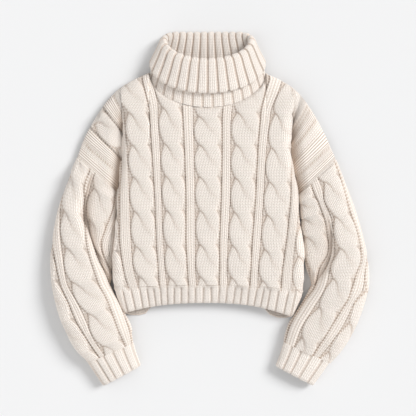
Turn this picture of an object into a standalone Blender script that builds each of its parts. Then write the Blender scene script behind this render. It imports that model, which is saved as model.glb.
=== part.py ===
"""Cropped cable-knit jumper with a turned-down polo neck, laid out flat with its sleeves bent in.

The jumper lies on z = 0 with its neck towards +Y and its front up. Every piece is a knitted wall:
an open surface worked out from the tables below, given its thickness along its normals. Along a
seam the thickness is kept in the seam's own plane, so that two pieces meet edge to edge with an
even gap, which Solidify would not do. All tables and sizes are in millimetres and the finished
meshes are in metres.
"""

import math

import bpy
from mathutils import Vector

MM = 0.001

# The middle of the jumper's outline in the tables' own frame; the finished jumper is centred.
OUTLINE_MIDDLE = (-0.4, -2.15, 0.0)

# Driving sizes of the cloth.
WALL = 4.0
SEAM_GAP = 0.3
BOWED_SEAM_GAP = 0.6
SEAM_HEIGHT = 12.0
LEVEL = (0.0, 0.0, 1.0)
ACROSS_WELT = (0.0, 1.0, 0.0)

# The torso: how high the front stands, how its sides roll over and how the shoulders sink.
SIDE_ROLL = 17.0
UNDER_ROLL = 20.0
SHOULDER_ROLL = 34.0
VALLEY_HEIGHT = 17.0
CAP_HEIGHT = 29.0
CAP_RISE = 30.0
CROSS_FALL = 0.10
# Below the caps the valley beside the torso sinks to the seam's height over this distance.
VALLEY_FADE = 60.0
VALLEY_CLEAR = 5.0
# At an underarm the back turns up twice as sharply as along a side seam.
CORNER_SHARPNESS = 2.0

# One row for each height of the torso: where the front's two sides turn down, and its crown.
TORSO = (
    # y, left, right, crown
    (262.0, -190.0, 184.0, 34.0),
    (205.0, -183.0, 172.0, 39.0),
    (165.0, -181.5, 168.0, 41.0),
    (123.0, -184.0, 170.0, 42.0),
    (70.0, -189.0, 176.0, 42.0),
    (32.6, -193.2, 184.8, 42.0),
    (-24.0, -197.4, 189.0, 41.0),
    (-66.0, -199.5, 194.0, 40.0),
    (-119.0, -203.7, 197.4, 38.0),
    (-175.0, -202.0, 195.5, 33.0),
)

# The shoulder edge, from the armhole to the side of the neck.
SHOULDER_LEFT = (
    # x, y
    (-279.3, 108.2),
    (-265.0, 147.0),
    (-239.0, 194.0),
    (-222.0, 219.0),
    (-195.0, 249.0),
    (-160.0, 268.0),
    (-128.0, 277.0),
)
SHOULDER_RIGHT = (
    # x, y
    (118.0, 275.0),
    (147.0, 266.0),
    (178.0, 251.0),
    (202.0, 224.0),
    (223.0, 192.0),
    (250.0, 138.0),
    (264.6, 104.0),
)
# The neck hole and the welt's two lines, each named by its middle and its ends.
NECK_MIDDLE = -5.0
NECK_HALF = 123.0
NECK_SIDE_Y = 276.0
NECK_FRONT_Y = 211.0
NECK_BACK_Y = 271.0
WELT_TOP = {"left": -167.0, "middle": -159.6, "right": -173.0}
WELT_FRONT = {"left": -218.0, "middle": -196.4, "right": -226.0}
WELT_BACK = {"left": -223.0, "middle": -194.0, "right": -231.0}
WELT_CORNERS = {"top": (-202.0, 195.5), "foot": (-181.0, 172.0)}
WELT_CROWN = {"top": 33.0, "foot": 27.0}
WELT_BOW = 2.4

# Both armholes end at the same share of the way from the shoulder's end to the welt.
UNDERARM_DOWN = 0.2747
UNDERARM_LEFT = (-193.2, SHOULDER_LEFT[0][1] + (WELT_TOP["left"] - SHOULDER_LEFT[0][1]) * UNDERARM_DOWN)
UNDERARM_RIGHT = (185.4, SHOULDER_RIGHT[-1][1] + (WELT_TOP["right"] - SHOULDER_RIGHT[-1][1]) * UNDERARM_DOWN)

# Each sleeve from armhole to cuff: its outer and inner edge, the crown of its outer lobe, the
# crown of its inner lobe, and the long fold between them (how far across, how deep).
SLEEVE_COLUMNS = ("outer_x", "outer_y", "inner_x", "inner_y", "crown", "inner", "fold", "depth")
SLEEVE_LEFT = (
    SHOULDER_LEFT[0] + UNDERARM_LEFT + (29.0, 29.0, 0.38, 0.05),
    (-294.0, 70.4, -197.0, 7.4, 35.0, 31.0, 0.37, 0.30),
    (-317.1, 5.3, -199.8, -28.4, 39.0, 28.0, 0.43, 0.50),
    (-329.7, -57.8, -202.0, -66.2, 41.0, 24.0, 0.61, 0.55),
    (-333.9, -116.6, -206.0, -112.4, 42.0, 18.0, 0.80, 0.50),
    (-327.6, -177.5, -209.0, -158.6, 42.0, 14.0, 0.97, 0.20),
    (-312.9, -230.0, -191.5, -198.5, 40.0, 40.0, 1.00, 0.00),
    (-289.8, -282.5, -169.0, -244.7, 37.0, 37.0, 1.00, 0.00),
    (-256.2, -323.4, -162.8, -282.5, 30.0, 30.0, 1.00, 0.00),
)
SLEEVE_RIGHT = (
    SHOULDER_RIGHT[-1] + UNDERARM_RIGHT + (29.0, 29.0, 0.50, 0.02),
    (283.5, 55.7, 189.5, 3.2, 35.0, 32.0, 0.50, 0.04),
    (304.5, -1.0, 192.4, -32.6, 39.0, 33.0, 0.50, 0.10),
    (321.3, -57.8, 197.0, -72.5, 41.0, 30.0, 0.51, 0.35),
    (331.8, -112.4, 201.5, -120.8, 42.0, 22.0, 0.63, 0.55),
    (330.8, -173.3, 213.0, -162.8, 42.0, 15.0, 0.95, 0.25),
    (312.9, -227.9, 195.8, -196.4, 40.0, 40.0, 1.00, 0.00),
    (287.7, -280.4, 168.0, -240.4, 37.0, 37.0, 1.00, 0.00),
    (252.0, -324.5, 155.4, -280.4, 30.0, 30.0, 1.00, 0.00),
)
CUFF_LEFT = (
    (-256.2, -323.4, -162.8, -282.5, 30.0, 30.0, 1.00, 0.00),
    (-240.0, -348.0, -155.5, -306.5, 27.0, 27.0, 1.00, 0.00),
    (-224.7, -372.8, -147.0, -330.8, 25.0, 25.0, 1.00, 0.00),
)
CUFF_RIGHT = (
    (252.0, -324.5, 155.4, -280.4, 30.0, 30.0, 1.00, 0.00),
    (235.0, -348.5, 147.5, -306.0, 27.0, 27.0, 1.00, 0.00),
    (218.4, -372.8, 138.6, -330.8, 25.0, 25.0, 1.00, 0.00),
)
SLEEVE_ROUND = 2.5
FOLD_WIDTH = 0.13
FOLD_FLOOR = 0.45
# A ring's middle point follows the fold no further out than this.
FOLD_LIMITS = (0.30, 0.70)

# The collar tube from above its seam up to the fold and down again: the middle of its wall.
COLLAR_COLUMNS = ("half", "side_y", "front_y", "back_y", "side_z", "front_z", "back_z")
COLLAR = (
    (114.0, 289.0, 229.0, 291.0, 16.0, 39.5, 8.0),
    (104.5, 316.0, 266.0, 326.0, 20.0, 45.0, 8.0),
    (97.5, 340.0, 299.0, 353.0, 23.0, 50.0, 8.0),
    (96.5, 350.0, 310.0, 363.5, 25.0, 52.5, 7.2),
    (98.5, 353.0, 314.0, 366.5, 25.0, 55.5, 4.8),
    (102.5, 349.0, 310.0, 362.0, 24.0, 58.0, 2.4),
    (105.0, 340.0, 302.0, 353.0, 23.0, 58.0, 2.0),
    (111.0, 316.0, 276.0, 328.0, 21.0, 54.0, 2.0),
    (120.5, 287.0, 245.0, 300.0, 18.0, 47.5, 2.0),
)
COLLAR_BACK_ROUND = 26.0
COLLAR_ARCH = 0.9
COLLAR_SIDE_INSET = 5.6

# How a panel's columns run: the torso's rows that they follow, how far they start inside its side
# below the underarm, how soon they do, and how much they draw in towards the welt.
COLUMN_TOP_Y = 230.0
COLUMN_FOOT_Y = -165.0
SIDE_TOP_Y = 108.0
SIDE_FOOT_Y = -167.0
SIDE_INSET = 0.75 * SIDE_ROLL
INSET_START = 20.0
INSET_FADE = 60.0
NARROWING = 0.96

# How finely each piece is divided.
PANEL_SPANS = (5, 3, 4, 12, 4, 3, 5)
BACK_SPANS = (3, 2, 2, 6, 2, 2, 3)
PANEL_ROWS = 18
ROW_CROWDING = 1.6
BACK_ROWS = 10
SLEEVE_STEPS = 2
TUBE_TOP = 14
TUBE_UNDER = 8
WELT_TOP_COLUMNS = 26
WELT_UNDER_COLUMNS = 12
WELT_ROWS = 3
EDGE_CROWDING = 0.8
COLLAR_AROUND = 32

WOOL = (0.80, 0.74, 0.66, 1.0)
WOOL_ROUGHNESS = 0.95


def mix(start, end, share):
    """Return the value that lies a share of the way from start to end."""
    return start + (end - start) * share


def clamp(value):
    """Keep a value between 0 and 1."""
    return max(0.0, min(1.0, value))


def ease(value):
    """Rise smoothly from 0 to 1."""
    value = clamp(value)
    return value * value * (3.0 - 2.0 * value)


def roll(distance, radius):
    """Return the rise of a rounded edge, from 0 at the edge to 1 past its radius."""
    inside = 1.0 - clamp(distance / radius)
    return math.sqrt(1.0 - inside * inside)


def hermite(start, end, start_slope, end_slope, share, span):
    """Return a cubic between two values with the given slopes."""
    square = share * share
    cube = square * share
    return (
        (2.0 * cube - 3.0 * square + 1.0) * start
        + (cube - 2.0 * square + share) * span * start_slope
        + (3.0 * square - 2.0 * cube) * end
        + (cube - square) * span * end_slope
    )


def read(rows, column, at, key=0):
    """Read one column of a table as a smooth curve of its key column."""
    ordered = sorted(rows, key=lambda row: row[key])
    last = len(ordered) - 1
    if at <= ordered[0][key]:
        return ordered[0][column]
    if at >= ordered[last][key]:
        return ordered[last][column]
    index = max(i for i in range(last) if ordered[i][key] <= at)
    low = ordered[index]
    high = ordered[index + 1]
    before = ordered[max(index - 1, 0)]
    after = ordered[min(index + 2, last)]
    span = high[key] - low[key]
    low_slope = (high[column] - before[column]) / (high[key] - before[key])
    high_slope = (after[column] - low[column]) / (after[key] - low[key])
    return hermite(low[column], high[column], low_slope, high_slope, (at - low[key]) / span, span)


def station(rows, columns, at):
    """Read every column of a table at a station counted in rows, as a named record."""
    numbered = [(float(index),) + tuple(row) for index, row in enumerate(rows)]
    return {name: read(numbered, place + 1, at) for place, name in enumerate(columns)}


def neck_share(x):
    """Return how far x is from the middle of the neck hole, 1 at its sides."""
    return abs(x - NECK_MIDDLE) / NECK_HALF


def neck_line(x, depth_y):
    """Return the y of a neck edge that reaches depth_y in the middle."""
    bow = math.sqrt(max(0.0, 1.0 - neck_share(x) ** 2.0))
    return mix(NECK_SIDE_Y, depth_y, bow)


def top_line(x, neck_y):
    """Return the y of a panel's top edge: a shoulder, or the neck between the shoulders."""
    if x < NECK_MIDDLE - NECK_HALF:
        return read(SHOULDER_LEFT, 1, x)
    if x > NECK_MIDDLE + NECK_HALF:
        return read(SHOULDER_RIGHT, 1, x)
    return neck_line(x, neck_y)


def bowed(line, share):
    """Return the y of a welt line at a share across, from its left end to its right end."""
    offset = 2.0 * share - 1.0
    end = line["left"] if offset < 0.0 else line["right"]
    return mix(line["middle"], end, abs(offset) ** WELT_BOW)


def side_edges(down):
    """Return the x of a panel's left and right edge at a share of the way down it."""
    edges = []
    for shoulder, underarm, end, column in (
        (SHOULDER_LEFT[0], UNDERARM_LEFT, WELT_TOP["left"], 1),
        (SHOULDER_RIGHT[-1], UNDERARM_RIGHT, WELT_TOP["right"], 2),
    ):
        y = mix(shoulder[1], end, down)
        if y > underarm[1]:
            share = (shoulder[1] - y) / (shoulder[1] - underarm[1])
            edges.append(mix(shoulder[0], underarm[0], share))
        else:
            edges.append(read(TORSO, column, y))
    return edges


def panel_lines(down):
    """Return the eight x lines that a panel's columns follow at a share of the way down."""
    left, right = side_edges(down)
    y = mix(COLUMN_TOP_Y, COLUMN_FOOT_Y, down)
    past_underarm = UNDERARM_LEFT[1] + INSET_START - mix(SIDE_TOP_Y, SIDE_FOOT_Y, down)
    inset = SIDE_INSET * ease(past_underarm / INSET_FADE)
    foot_left = max(read(TORSO, 1, y), left) + inset
    foot_right = min(read(TORSO, 2, y), right) - inset
    narrowing = mix(1.0, NARROWING, down)
    neck_left = NECK_MIDDLE - NECK_HALF * narrowing
    neck_right = NECK_MIDDLE + NECK_HALF * narrowing
    return (
        left,
        foot_left,
        foot_left + SIDE_ROLL,
        neck_left,
        neck_right,
        foot_right - SIDE_ROLL,
        foot_right,
        right,
    )


def panel_columns(spans):
    """Return each column as a pair: the span it is in and how far across that span."""
    columns = []
    for span, count in enumerate(spans):
        for step in range(count):
            columns.append((span, step / count))
    columns.append((len(spans) - 1, 1.0))
    return columns


def panel_point(column, down, neck_y):
    """Return a panel's plan point and its share across, for a column and a share down."""
    span, share = column
    top = panel_lines(0.0)
    lines = panel_lines(down)
    top_x = mix(top[span], top[span + 1], share)
    x = mix(lines[span], lines[span + 1], share)
    across = (x - lines[0]) / (lines[-1] - lines[0])
    y = mix(top_line(top_x, neck_y), bowed(WELT_TOP, across), down)
    return x, y, top_x


def shoulder_distance(x, y, top_x):
    """Return how far a plan point lies inside the shoulder edge above it."""
    step = 1.0
    slope = (top_line(top_x + step, NECK_FRONT_Y) - top_line(top_x - step, NECK_FRONT_Y)) / (2.0 * step)
    if neck_share(top_x) < 1.0:
        slope = 0.0
    drop = top_line(top_x, NECK_FRONT_Y) - y
    return max(0.0, drop) / math.sqrt(1.0 + slope * slope)


def front_height(x, y, top_x):
    """Return the height of the front's outer face over a plan point."""
    left = read(TORSO, 1, y)
    right = read(TORSO, 2, y)
    crown = read(TORSO, 3, y)
    inside = min(x - left, right - x)
    across = clamp(2.0 * inside / (right - left))
    floor = mix(SEAM_HEIGHT, VALLEY_HEIGHT, ease((y - UNDERARM_LEFT[1] + VALLEY_CLEAR) / VALLEY_FADE))
    if inside >= 0.0:
        dome = crown * (1.0 - CROSS_FALL * (1.0 - across) ** 2.0)
        height = mix(floor, dome, roll(inside, SIDE_ROLL))
    else:
        height = mix(floor, CAP_HEIGHT, ease(-inside / CAP_RISE))
    hidden = (1.0 - clamp(shoulder_distance(x, y, top_x) / SHOULDER_ROLL)) * min(1.0, neck_share(top_x))
    return mix(SEAM_HEIGHT, height, math.sqrt(1.0 - hidden * hidden))


def back_height(x, y, top_x):
    """Return the height of the back's under face: flat, turned up to its side seams."""
    turn = 1.0 if neck_share(top_x) < 1.0 else roll(shoulder_distance(x, y, top_x), UNDER_ROLL)
    for column, underarm in ((1, UNDERARM_LEFT), (2, UNDERARM_RIGHT)):
        beside = CORNER_SHARPNESS * math.dist((x, y), underarm)
        if y < underarm[1]:
            beside = abs(x - read(TORSO, column, y))
        turn = min(turn, roll(beside, UNDER_ROLL))
    return (SEAM_HEIGHT - SEAM_GAP) * (1.0 - turn)


def grid_faces(rows, columns, flip):
    """Return the quads of a grid of points listed row by row."""
    faces = []
    for row in range(rows - 1):
        for column in range(columns - 1):
            first = row * columns + column
            quad = (first, first + columns, first + columns + 1, first + 1)
            faces.append(tuple(reversed(quad)) if flip else quad)
    return faces


def tube_faces(rings, around, flip):
    """Return the quads of a tube of closed rings with the same number of points."""
    faces = []
    for ring in range(rings - 1):
        for place in range(around):
            following = (place + 1) % around
            quad = (
                ring * around + place,
                ring * around + following,
                (ring + 1) * around + following,
                (ring + 1) * around + place,
            )
            faces.append(tuple(reversed(quad)) if flip else quad)
    return faces


def wool_material(name):
    """Make a piece's own matt wool material."""
    material = bpy.data.materials.new(name + "_wool")
    material.use_nodes = True
    shader = material.node_tree.nodes["Principled BSDF"]
    shader.inputs["Base Color"].default_value = WOOL
    shader.inputs["Roughness"].default_value = WOOL_ROUGHNESS
    shader.inputs["Metallic"].default_value = 0.0
    return material


def in_plane(offset, planes):
    """Keep an offset in the planes of the seams it lies on, at its full length."""
    length = offset.length
    for normal in planes:
        facing = Vector(normal).normalized()
        offset = offset - facing * offset.dot(facing)
    return offset.normalized() * length


def rim_quads(faces, count):
    """Return the quads that join an open surface's edges to those of its copy inside."""
    edges = {}
    for face in faces:
        for start, end in zip(face, face[1:] + face[:1]):
            edges[(start, end)] = True
    return [
        (end, start, start + count, end + count)
        for start, end in edges
        if (end, start) not in edges
    ]


def knitted_wall(name, points, faces, seams, collection, share_out=0.0):
    """Make one piece: an open surface in millimetres, thickened inwards to the knitted wall.

    seams lists the planes that hold a point's thickness, by the point's number. share_out is the
    share of the thickness that is added outside the surface.
    """
    mesh = bpy.data.meshes.new(name)
    mesh.from_pydata(points, [], faces)
    mesh.update()
    inward = [in_plane(vertex.normal * -WALL, seams.get(vertex.index, ())) for vertex in mesh.vertices]
    outer = [vertex.co - inward[vertex.index] * share_out for vertex in mesh.vertices]
    inner = [point + offset for point, offset in zip(outer, inward)]
    count = len(points)
    walls = [tuple(number + count for number in reversed(face)) for face in faces]
    solid = bpy.data.meshes.new(name)
    placed = [(point - Vector(OUTLINE_MIDDLE)) * MM for point in outer + inner]
    solid.from_pydata(placed, [], faces + walls + rim_quads(faces, count))
    bpy.data.meshes.remove(mesh)
    solid.shade_smooth()
    solid.materials.append(wool_material(name))
    piece = bpy.data.objects.new(name, solid)
    collection.objects.link(piece)
    return piece


def upright(start, end):
    """Return the normal of the upright plane through two plan points."""
    return (end[1] - start[1], start[0] - end[0], 0.0)


def panel_seams(columns, downs):
    """Return the planes that hold the thickness of a panel along its shoulders, sides and welt."""
    seams = {}
    sides = (
        (0, SHOULDER_LEFT[0], UNDERARM_LEFT, WELT_TOP["left"]),
        (len(columns) - 1, SHOULDER_RIGHT[-1], UNDERARM_RIGHT, WELT_TOP["right"]),
    )
    top = panel_lines(0.0)
    for place, (span, share) in enumerate(columns):
        if neck_share(mix(top[span], top[span + 1], share)) >= 0.999:
            seams[place] = [LEVEL]
        seams[(len(downs) - 1) * len(columns) + place] = [ACROSS_WELT]
    for place, shoulder, underarm, end in sides:
        for row, down in enumerate(downs):
            number = row * len(columns) + place
            y = mix(shoulder[1], end, down)
            if y >= underarm[1] - 0.01:
                seams.setdefault(number, []).append(upright(shoulder, underarm))
            if y <= underarm[1] + 0.01:
                seams.setdefault(number, []).append(LEVEL)
    return seams


def make_panel(name, height, spans, row_count, neck_y, flip, collection):
    """Make the front or the back from its plan grid and its height rule."""
    columns = panel_columns(spans)
    downs = panel_rows(row_count)
    points = []
    for down in downs:
        for column in columns:
            x, y, top_x = panel_point(column, down, neck_y)
            points.append((x, y, height(x, y, top_x)))
    faces = grid_faces(len(downs), len(columns), flip)
    return knitted_wall(name, points, faces, panel_seams(columns, downs), collection)


def panel_rows(count):
    """Return each row's share down a panel: close together at the shoulder, one at the underarms."""
    downs = [(row / count) ** ROW_CROWDING for row in range(count + 1)]
    nearest = min(range(1, count), key=lambda row: abs(downs[row] - UNDERARM_DOWN))
    downs[nearest] = UNDERARM_DOWN
    return downs


def under_height(edge):
    """Return the height of a tube's under face at a distance from its nearer edge."""
    return SEAM_HEIGHT * (1.0 - roll(edge, UNDER_ROLL))


def tube_ring(record, top_height, under=under_height):
    """Return a flattened ring between an outer and an inner edge, resting flat on the ground.

    Its middle point on top stays in the sleeve's long fold.
    """
    outer = (record["outer_x"], record["outer_y"])
    inner = (record["inner_x"], record["inner_y"])
    width = math.dist(outer, inner)
    middle = min(max(record["fold"], FOLD_LIMITS[0]), FOLD_LIMITS[1])
    bend = 4.0 * (middle - 0.5)
    ring = []
    for step in range(TUBE_TOP + 1):
        even = 0.5 - 0.5 * math.cos(math.pi * step / TUBE_TOP)
        share = even + bend * even * (1.0 - even)
        ring.append((mix(outer[0], inner[0], share), mix(outer[1], inner[1], share), top_height(share)))
    for step in range(1, TUBE_UNDER):
        share = 0.5 + 0.5 * math.cos(math.pi * step / TUBE_UNDER)
        height = under(min(share, 1.0 - share) * width)
        ring.append((mix(outer[0], inner[0], share), mix(outer[1], inner[1], share), height))
    return ring


def lobes(record, share):
    """Return the height of a sleeve's outer face across it: two lobes with a fold between."""
    dome = (1.0 - abs(2.0 * share - 1.0) ** SLEEVE_ROUND) ** (1.0 / SLEEVE_ROUND)
    past = ease((share - record["fold"]) / FOLD_WIDTH + 0.5)
    crown = mix(record["crown"], record["inner"], past)
    crease = record["depth"] * math.exp(-(((share - record["fold"]) / (0.5 * FOLD_WIDTH)) ** 2.0))
    height = mix(SEAM_HEIGHT, crown, dome)
    return mix(height, FOLD_FLOOR * crown, crease)


def armhole_height(shoulder, underarm, share):
    """Return the height of the front along an armhole seam, so that the sleeve meets it."""
    x = mix(shoulder[0], underarm[0], share)
    y = mix(shoulder[1], underarm[1], share)
    return front_height(x, y, shoulder[0])


def make_sleeve(name, rows, shoulder, underarm, flip, collection):
    """Make one sleeve, from the armhole's own heights to the two-lobed rows of its table."""
    rings = []
    count = (len(rows) - 1) * SLEEVE_STEPS
    for step in range(count + 1):
        along = step / SLEEVE_STEPS
        record = station(rows, SLEEVE_COLUMNS, along)
        if step in (0, count):
            set_back(record, rows, step == 0)

        def top_height(share, record=record, along=along):
            seam = armhole_height(shoulder, underarm, share)
            return mix(seam, lobes(record, share), ease(along))

        rings.append(tube_ring(record, top_height))
    return wall_tube(name, rings, end_planes(rows), flip, collection)


def set_back(record, rows, at_start):
    """Move a sleeve's first or last ring back from its seam by the seam gap."""
    row = rows[0] if at_start else rows[-1]
    toward = station(rows, SLEEVE_COLUMNS, 0.25 if at_start else len(rows) - 1.25)
    normal = Vector(upright((row[0], row[1]), (row[2], row[3]))).normalized()
    away = Vector((toward["outer_x"] - row[0], toward["outer_y"] - row[1], 0.0))
    step = normal * math.copysign(SEAM_GAP, away.dot(normal))
    for edge in ("outer", "inner"):
        record[edge + "_x"] += step.x
        record[edge + "_y"] += step.y


def make_cuff(name, rows, flip, collection):
    """Make one ribbed cuff, which carries on from the end of its sleeve."""
    rings = []
    for index in range(len(rows) * 2 - 1):
        record = station(rows, SLEEVE_COLUMNS, index / 2.0)
        rings.append(tube_ring(record, lambda share, record=record: lobes(record, share)))
    return wall_tube(name, rings, end_planes(rows), flip, collection)


def wall_tube(name, rings, planes, flip, collection):
    """Make one piece from a list of closed rings and the planes of its first and last ring."""
    around = len(rings[0])
    points = [point for ring in rings for point in ring]
    last = (len(rings) - 1) * around
    seams = {}
    for place in range(around):
        seams[place] = [planes[0]]
        seams[last + place] = [planes[1]]
    return knitted_wall(name, points, tube_faces(len(rings), around, flip), seams, collection)


def end_planes(rows):
    """Return the upright planes of a tube's first and last row."""
    return [upright((row[0], row[1]), (row[2], row[3])) for row in (rows[0], rows[-1])]


def welt_height(share, crown, width):
    """Return the height of the welt's front at a share across it."""
    inside = min(share, 1.0 - share)
    dome = crown * (1.0 - CROSS_FALL * (1.0 - 2.0 * inside) ** 2.0)
    return mix(SEAM_HEIGHT, dome, roll(inside * width, SIDE_ROLL))


def welt_ring(down):
    """Return one ring of the ribbed welt, a share of the way down it."""
    left = mix(WELT_CORNERS["top"][0], WELT_CORNERS["foot"][0], down)
    right = mix(WELT_CORNERS["top"][1], WELT_CORNERS["foot"][1], down)
    width = right - left
    crown = mix(WELT_CROWN["top"], WELT_CROWN["foot"], down)
    start = BOWED_SEAM_GAP * (1.0 - down)
    ring = []
    for step in range(WELT_TOP_COLUMNS + 1):
        share = edge_crowded(step / WELT_TOP_COLUMNS)
        y = mix(bowed(WELT_TOP, share), bowed(WELT_FRONT, share), down) - start
        ring.append((mix(left, right, share), y, welt_height(share, crown, width)))
    for step in range(1, WELT_UNDER_COLUMNS):
        share = 1.0 - edge_crowded(step / WELT_UNDER_COLUMNS)
        y = mix(bowed(WELT_TOP, share), bowed(WELT_BACK, share), down) - start
        ring.append((mix(left, right, share), y, under_height(min(share, 1.0 - share) * width)))
    return ring


def edge_crowded(share):
    """Spread columns evenly over the middle and closer together at both edges."""
    return mix(share, 0.5 - 0.5 * math.cos(math.pi * share), EDGE_CROWDING)


def make_welt(collection):
    """Make the ribbed hem as one tube round the front and the back."""
    rings = [welt_ring(row / WELT_ROWS) for row in range(WELT_ROWS + 1)]
    return wall_tube("hem_rib", rings, [ACROSS_WELT, ACROSS_WELT], True, collection)


def collar_ring(record):
    """Return one closed ring of the collar: arched over the front, flat along the back."""
    ring = []
    for place in range(COLLAR_AROUND):
        turn = 2.0 * math.pi * place / COLLAR_AROUND
        x = NECK_MIDDLE + record["half"] * math.cos(turn)
        lift = abs(math.sin(turn))
        if math.sin(turn) >= 0.0:
            y = mix(record["side_y"], record["front_y"], lift)
            z = mix(record["side_z"], record["front_z"], lift ** COLLAR_ARCH)
        else:
            inside = roll(record["half"] * (1.0 - abs(math.cos(turn))), COLLAR_BACK_ROUND)
            y = mix(record["side_y"], record["back_y"], inside)
            z = mix(record["side_z"], record["back_z"], inside)
        ring.append((x, y, z))
    return ring


def collar_seam_ring():
    """Return the collar's first ring, which follows the neck edges of the front and the back."""
    ring = []
    for place in range(COLLAR_AROUND):
        turn = 2.0 * math.pi * place / COLLAR_AROUND
        lift = abs(math.sin(turn))
        x = NECK_MIDDLE + (NECK_HALF - COLLAR_SIDE_INSET) * math.cos(turn)
        if math.sin(turn) >= 0.0:
            y = mix(NECK_SIDE_Y, NECK_FRONT_Y, lift) + BOWED_SEAM_GAP
            z = mix(SEAM_HEIGHT, front_height(NECK_MIDDLE, NECK_FRONT_Y, NECK_MIDDLE), lift) - 0.5 * WALL * lift
        else:
            y = mix(NECK_SIDE_Y, NECK_BACK_Y, lift) + BOWED_SEAM_GAP
            z = mix(SEAM_HEIGHT, 0.5 * WALL, roll(NECK_HALF * (1.0 - abs(math.cos(turn))), UNDER_ROLL))
        ring.append((x, y, z))
    return ring


def make_collar(collection):
    """Make the polo neck: up from the neck seam, over its fold and down outside itself."""
    numbered = [dict(zip(COLLAR_COLUMNS, row)) for row in COLLAR]
    rings = [collar_seam_ring()] + [collar_ring(record) for record in numbered]
    around = len(rings[0])
    points = [point for ring in rings for point in ring]
    faces = tube_faces(len(rings), around, False)
    seams = {place: [ACROSS_WELT] for place in range(around)}
    return knitted_wall("collar", points, faces, seams, collection, share_out=0.5)


def clear_scene():
    """Remove whatever objects the file starts with."""
    for item in list(bpy.data.objects):
        bpy.data.objects.remove(item, do_unlink=True)


def build():
    """Build every piece of the jumper."""
    clear_scene()
    collection = bpy.data.collections.new("cropped_knit_sweater")
    bpy.context.scene.collection.children.link(collection)
    make_panel("front", front_height, PANEL_SPANS, PANEL_ROWS, NECK_FRONT_Y, False, collection)
    make_panel("back", back_height, BACK_SPANS, BACK_ROWS, NECK_BACK_Y, True, collection)
    make_welt(collection)
    make_sleeve("sleeve_left", SLEEVE_LEFT, SHOULDER_LEFT[0], UNDERARM_LEFT, True, collection)
    make_sleeve("sleeve_right", SLEEVE_RIGHT, SHOULDER_RIGHT[-1], UNDERARM_RIGHT, False, collection)
    make_cuff("cuff_left", CUFF_LEFT, True, collection)
    make_cuff("cuff_right", CUFF_RIGHT, False, collection)
    make_collar(collection)


build()
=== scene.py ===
"""A cropped cable-knit jumper with a folded polo neck, laid out flat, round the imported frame.

Every cloth piece is a closed knitted shell. Its plan and its height follow the same rules as the
solid that it replaces, and the knitting is raised on it as real geometry: rope cables, purl
gutters, plain columns and ribs. The tables are in millimetres, with x to the right, y towards the
neck and z up; the meshes are in metres. The stitches themselves are a bump in stitch coordinates.
"""

import math

import bpy
import numpy as np
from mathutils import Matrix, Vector

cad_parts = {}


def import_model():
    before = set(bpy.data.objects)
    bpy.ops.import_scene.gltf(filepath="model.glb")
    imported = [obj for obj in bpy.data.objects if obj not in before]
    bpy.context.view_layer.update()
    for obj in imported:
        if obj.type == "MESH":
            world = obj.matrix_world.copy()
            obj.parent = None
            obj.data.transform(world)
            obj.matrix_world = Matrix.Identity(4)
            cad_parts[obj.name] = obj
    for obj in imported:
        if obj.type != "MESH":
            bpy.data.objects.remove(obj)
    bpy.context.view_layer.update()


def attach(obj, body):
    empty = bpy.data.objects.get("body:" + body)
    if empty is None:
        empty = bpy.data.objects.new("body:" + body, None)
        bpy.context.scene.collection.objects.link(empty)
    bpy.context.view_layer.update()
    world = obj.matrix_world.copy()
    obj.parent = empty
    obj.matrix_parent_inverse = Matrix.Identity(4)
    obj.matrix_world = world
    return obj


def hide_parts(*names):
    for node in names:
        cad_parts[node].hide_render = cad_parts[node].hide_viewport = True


MM = 0.001
OUTLINE_MIDDLE = np.array((-0.4, -2.15, 0.0))
LINING = 3.6
SEAM_GAP = 0.3
SEAM_HEIGHT = 12.0

# One knitted stitch, across and along its column.
STITCH_WIDTH = 6.6
ROW_HEIGHT = 5.9

# How many stretches each mesh has: across a panel's eight lines and down it, or over the top and
# along the underside of a tube, and down it. A lining takes one row in LINING_STEP.
FRONT_SPANS = (46, 12, 36, 150, 36, 12, 46)
FRONT_ROWS = 242
BACK_SPANS = (24, 8, 22, 84, 22, 8, 24)
BACK_ROWS = 170
SLEEVE_AROUND = (112, 52)
SLEEVE_ROWS = 276
CUFF_AROUND = (92, 60)
CUFF_ROWS = 34
WELT_AROUND = (250, 170)
WELT_ROWS = 30
LINING_STEP = 7
LINING_SHADE = 0.25

# The torso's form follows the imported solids, except that the shoulders stand higher next to the
# neck and the front falls less towards its sides.
SIDE_ROLL = 17.0
UNDER_ROLL = 20.0
SHOULDER_ROLL = 34.0
VALLEY_HEIGHT = 17.0
CAP_HEIGHT = 29.0
CAP_RISE = 30.0
CROSS_FALL = 0.06
TORSO = (
    # y, left, right, crown
    (262.0, -190.0, 184.0, 34.0),
    (205.0, -183.0, 172.0, 39.0),
    (165.0, -181.5, 168.0, 41.0),
    (123.0, -184.0, 170.0, 42.0),
    (70.0, -189.0, 176.0, 42.0),
    (32.6, -193.2, 184.8, 42.0),
    (-24.0, -197.4, 189.0, 41.0),
    (-66.0, -199.5, 194.0, 40.0),
    (-119.0, -203.7, 197.4, 38.0),
    (-175.0, -202.0, 195.5, 33.0),
)
SHOULDER_LEFT = (
    # x, y
    (-279.3, 108.2),
    (-265.0, 147.0),
    (-239.0, 194.0),
    (-222.0, 219.0),
    (-195.0, 249.0),
    (-160.0, 271.2),
    (-128.0, 286.0),
)
SHOULDER_RIGHT = (
    # x, y
    (118.0, 284.0),
    (147.0, 271.0),
    (178.0, 251.0),
    (202.0, 224.0),
    (223.0, 192.0),
    (250.0, 138.0),
    (264.6, 104.0),
)
NECK_MIDDLE = -5.0
NECK_HALF = 123.0
NECK_SIDE_Y = 285.0
NECK_FRONT_Y = 211.0
NECK_BACK_Y = 271.0
WELT_TOP = {"left": -167.0, "middle": -159.6, "right": -173.0}
WELT_FRONT = {"left": -218.0, "middle": -196.4, "right": -226.0}
WELT_CORNERS = {"top": (-202.0, 195.5), "foot": (-181.0, 172.0)}
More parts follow.
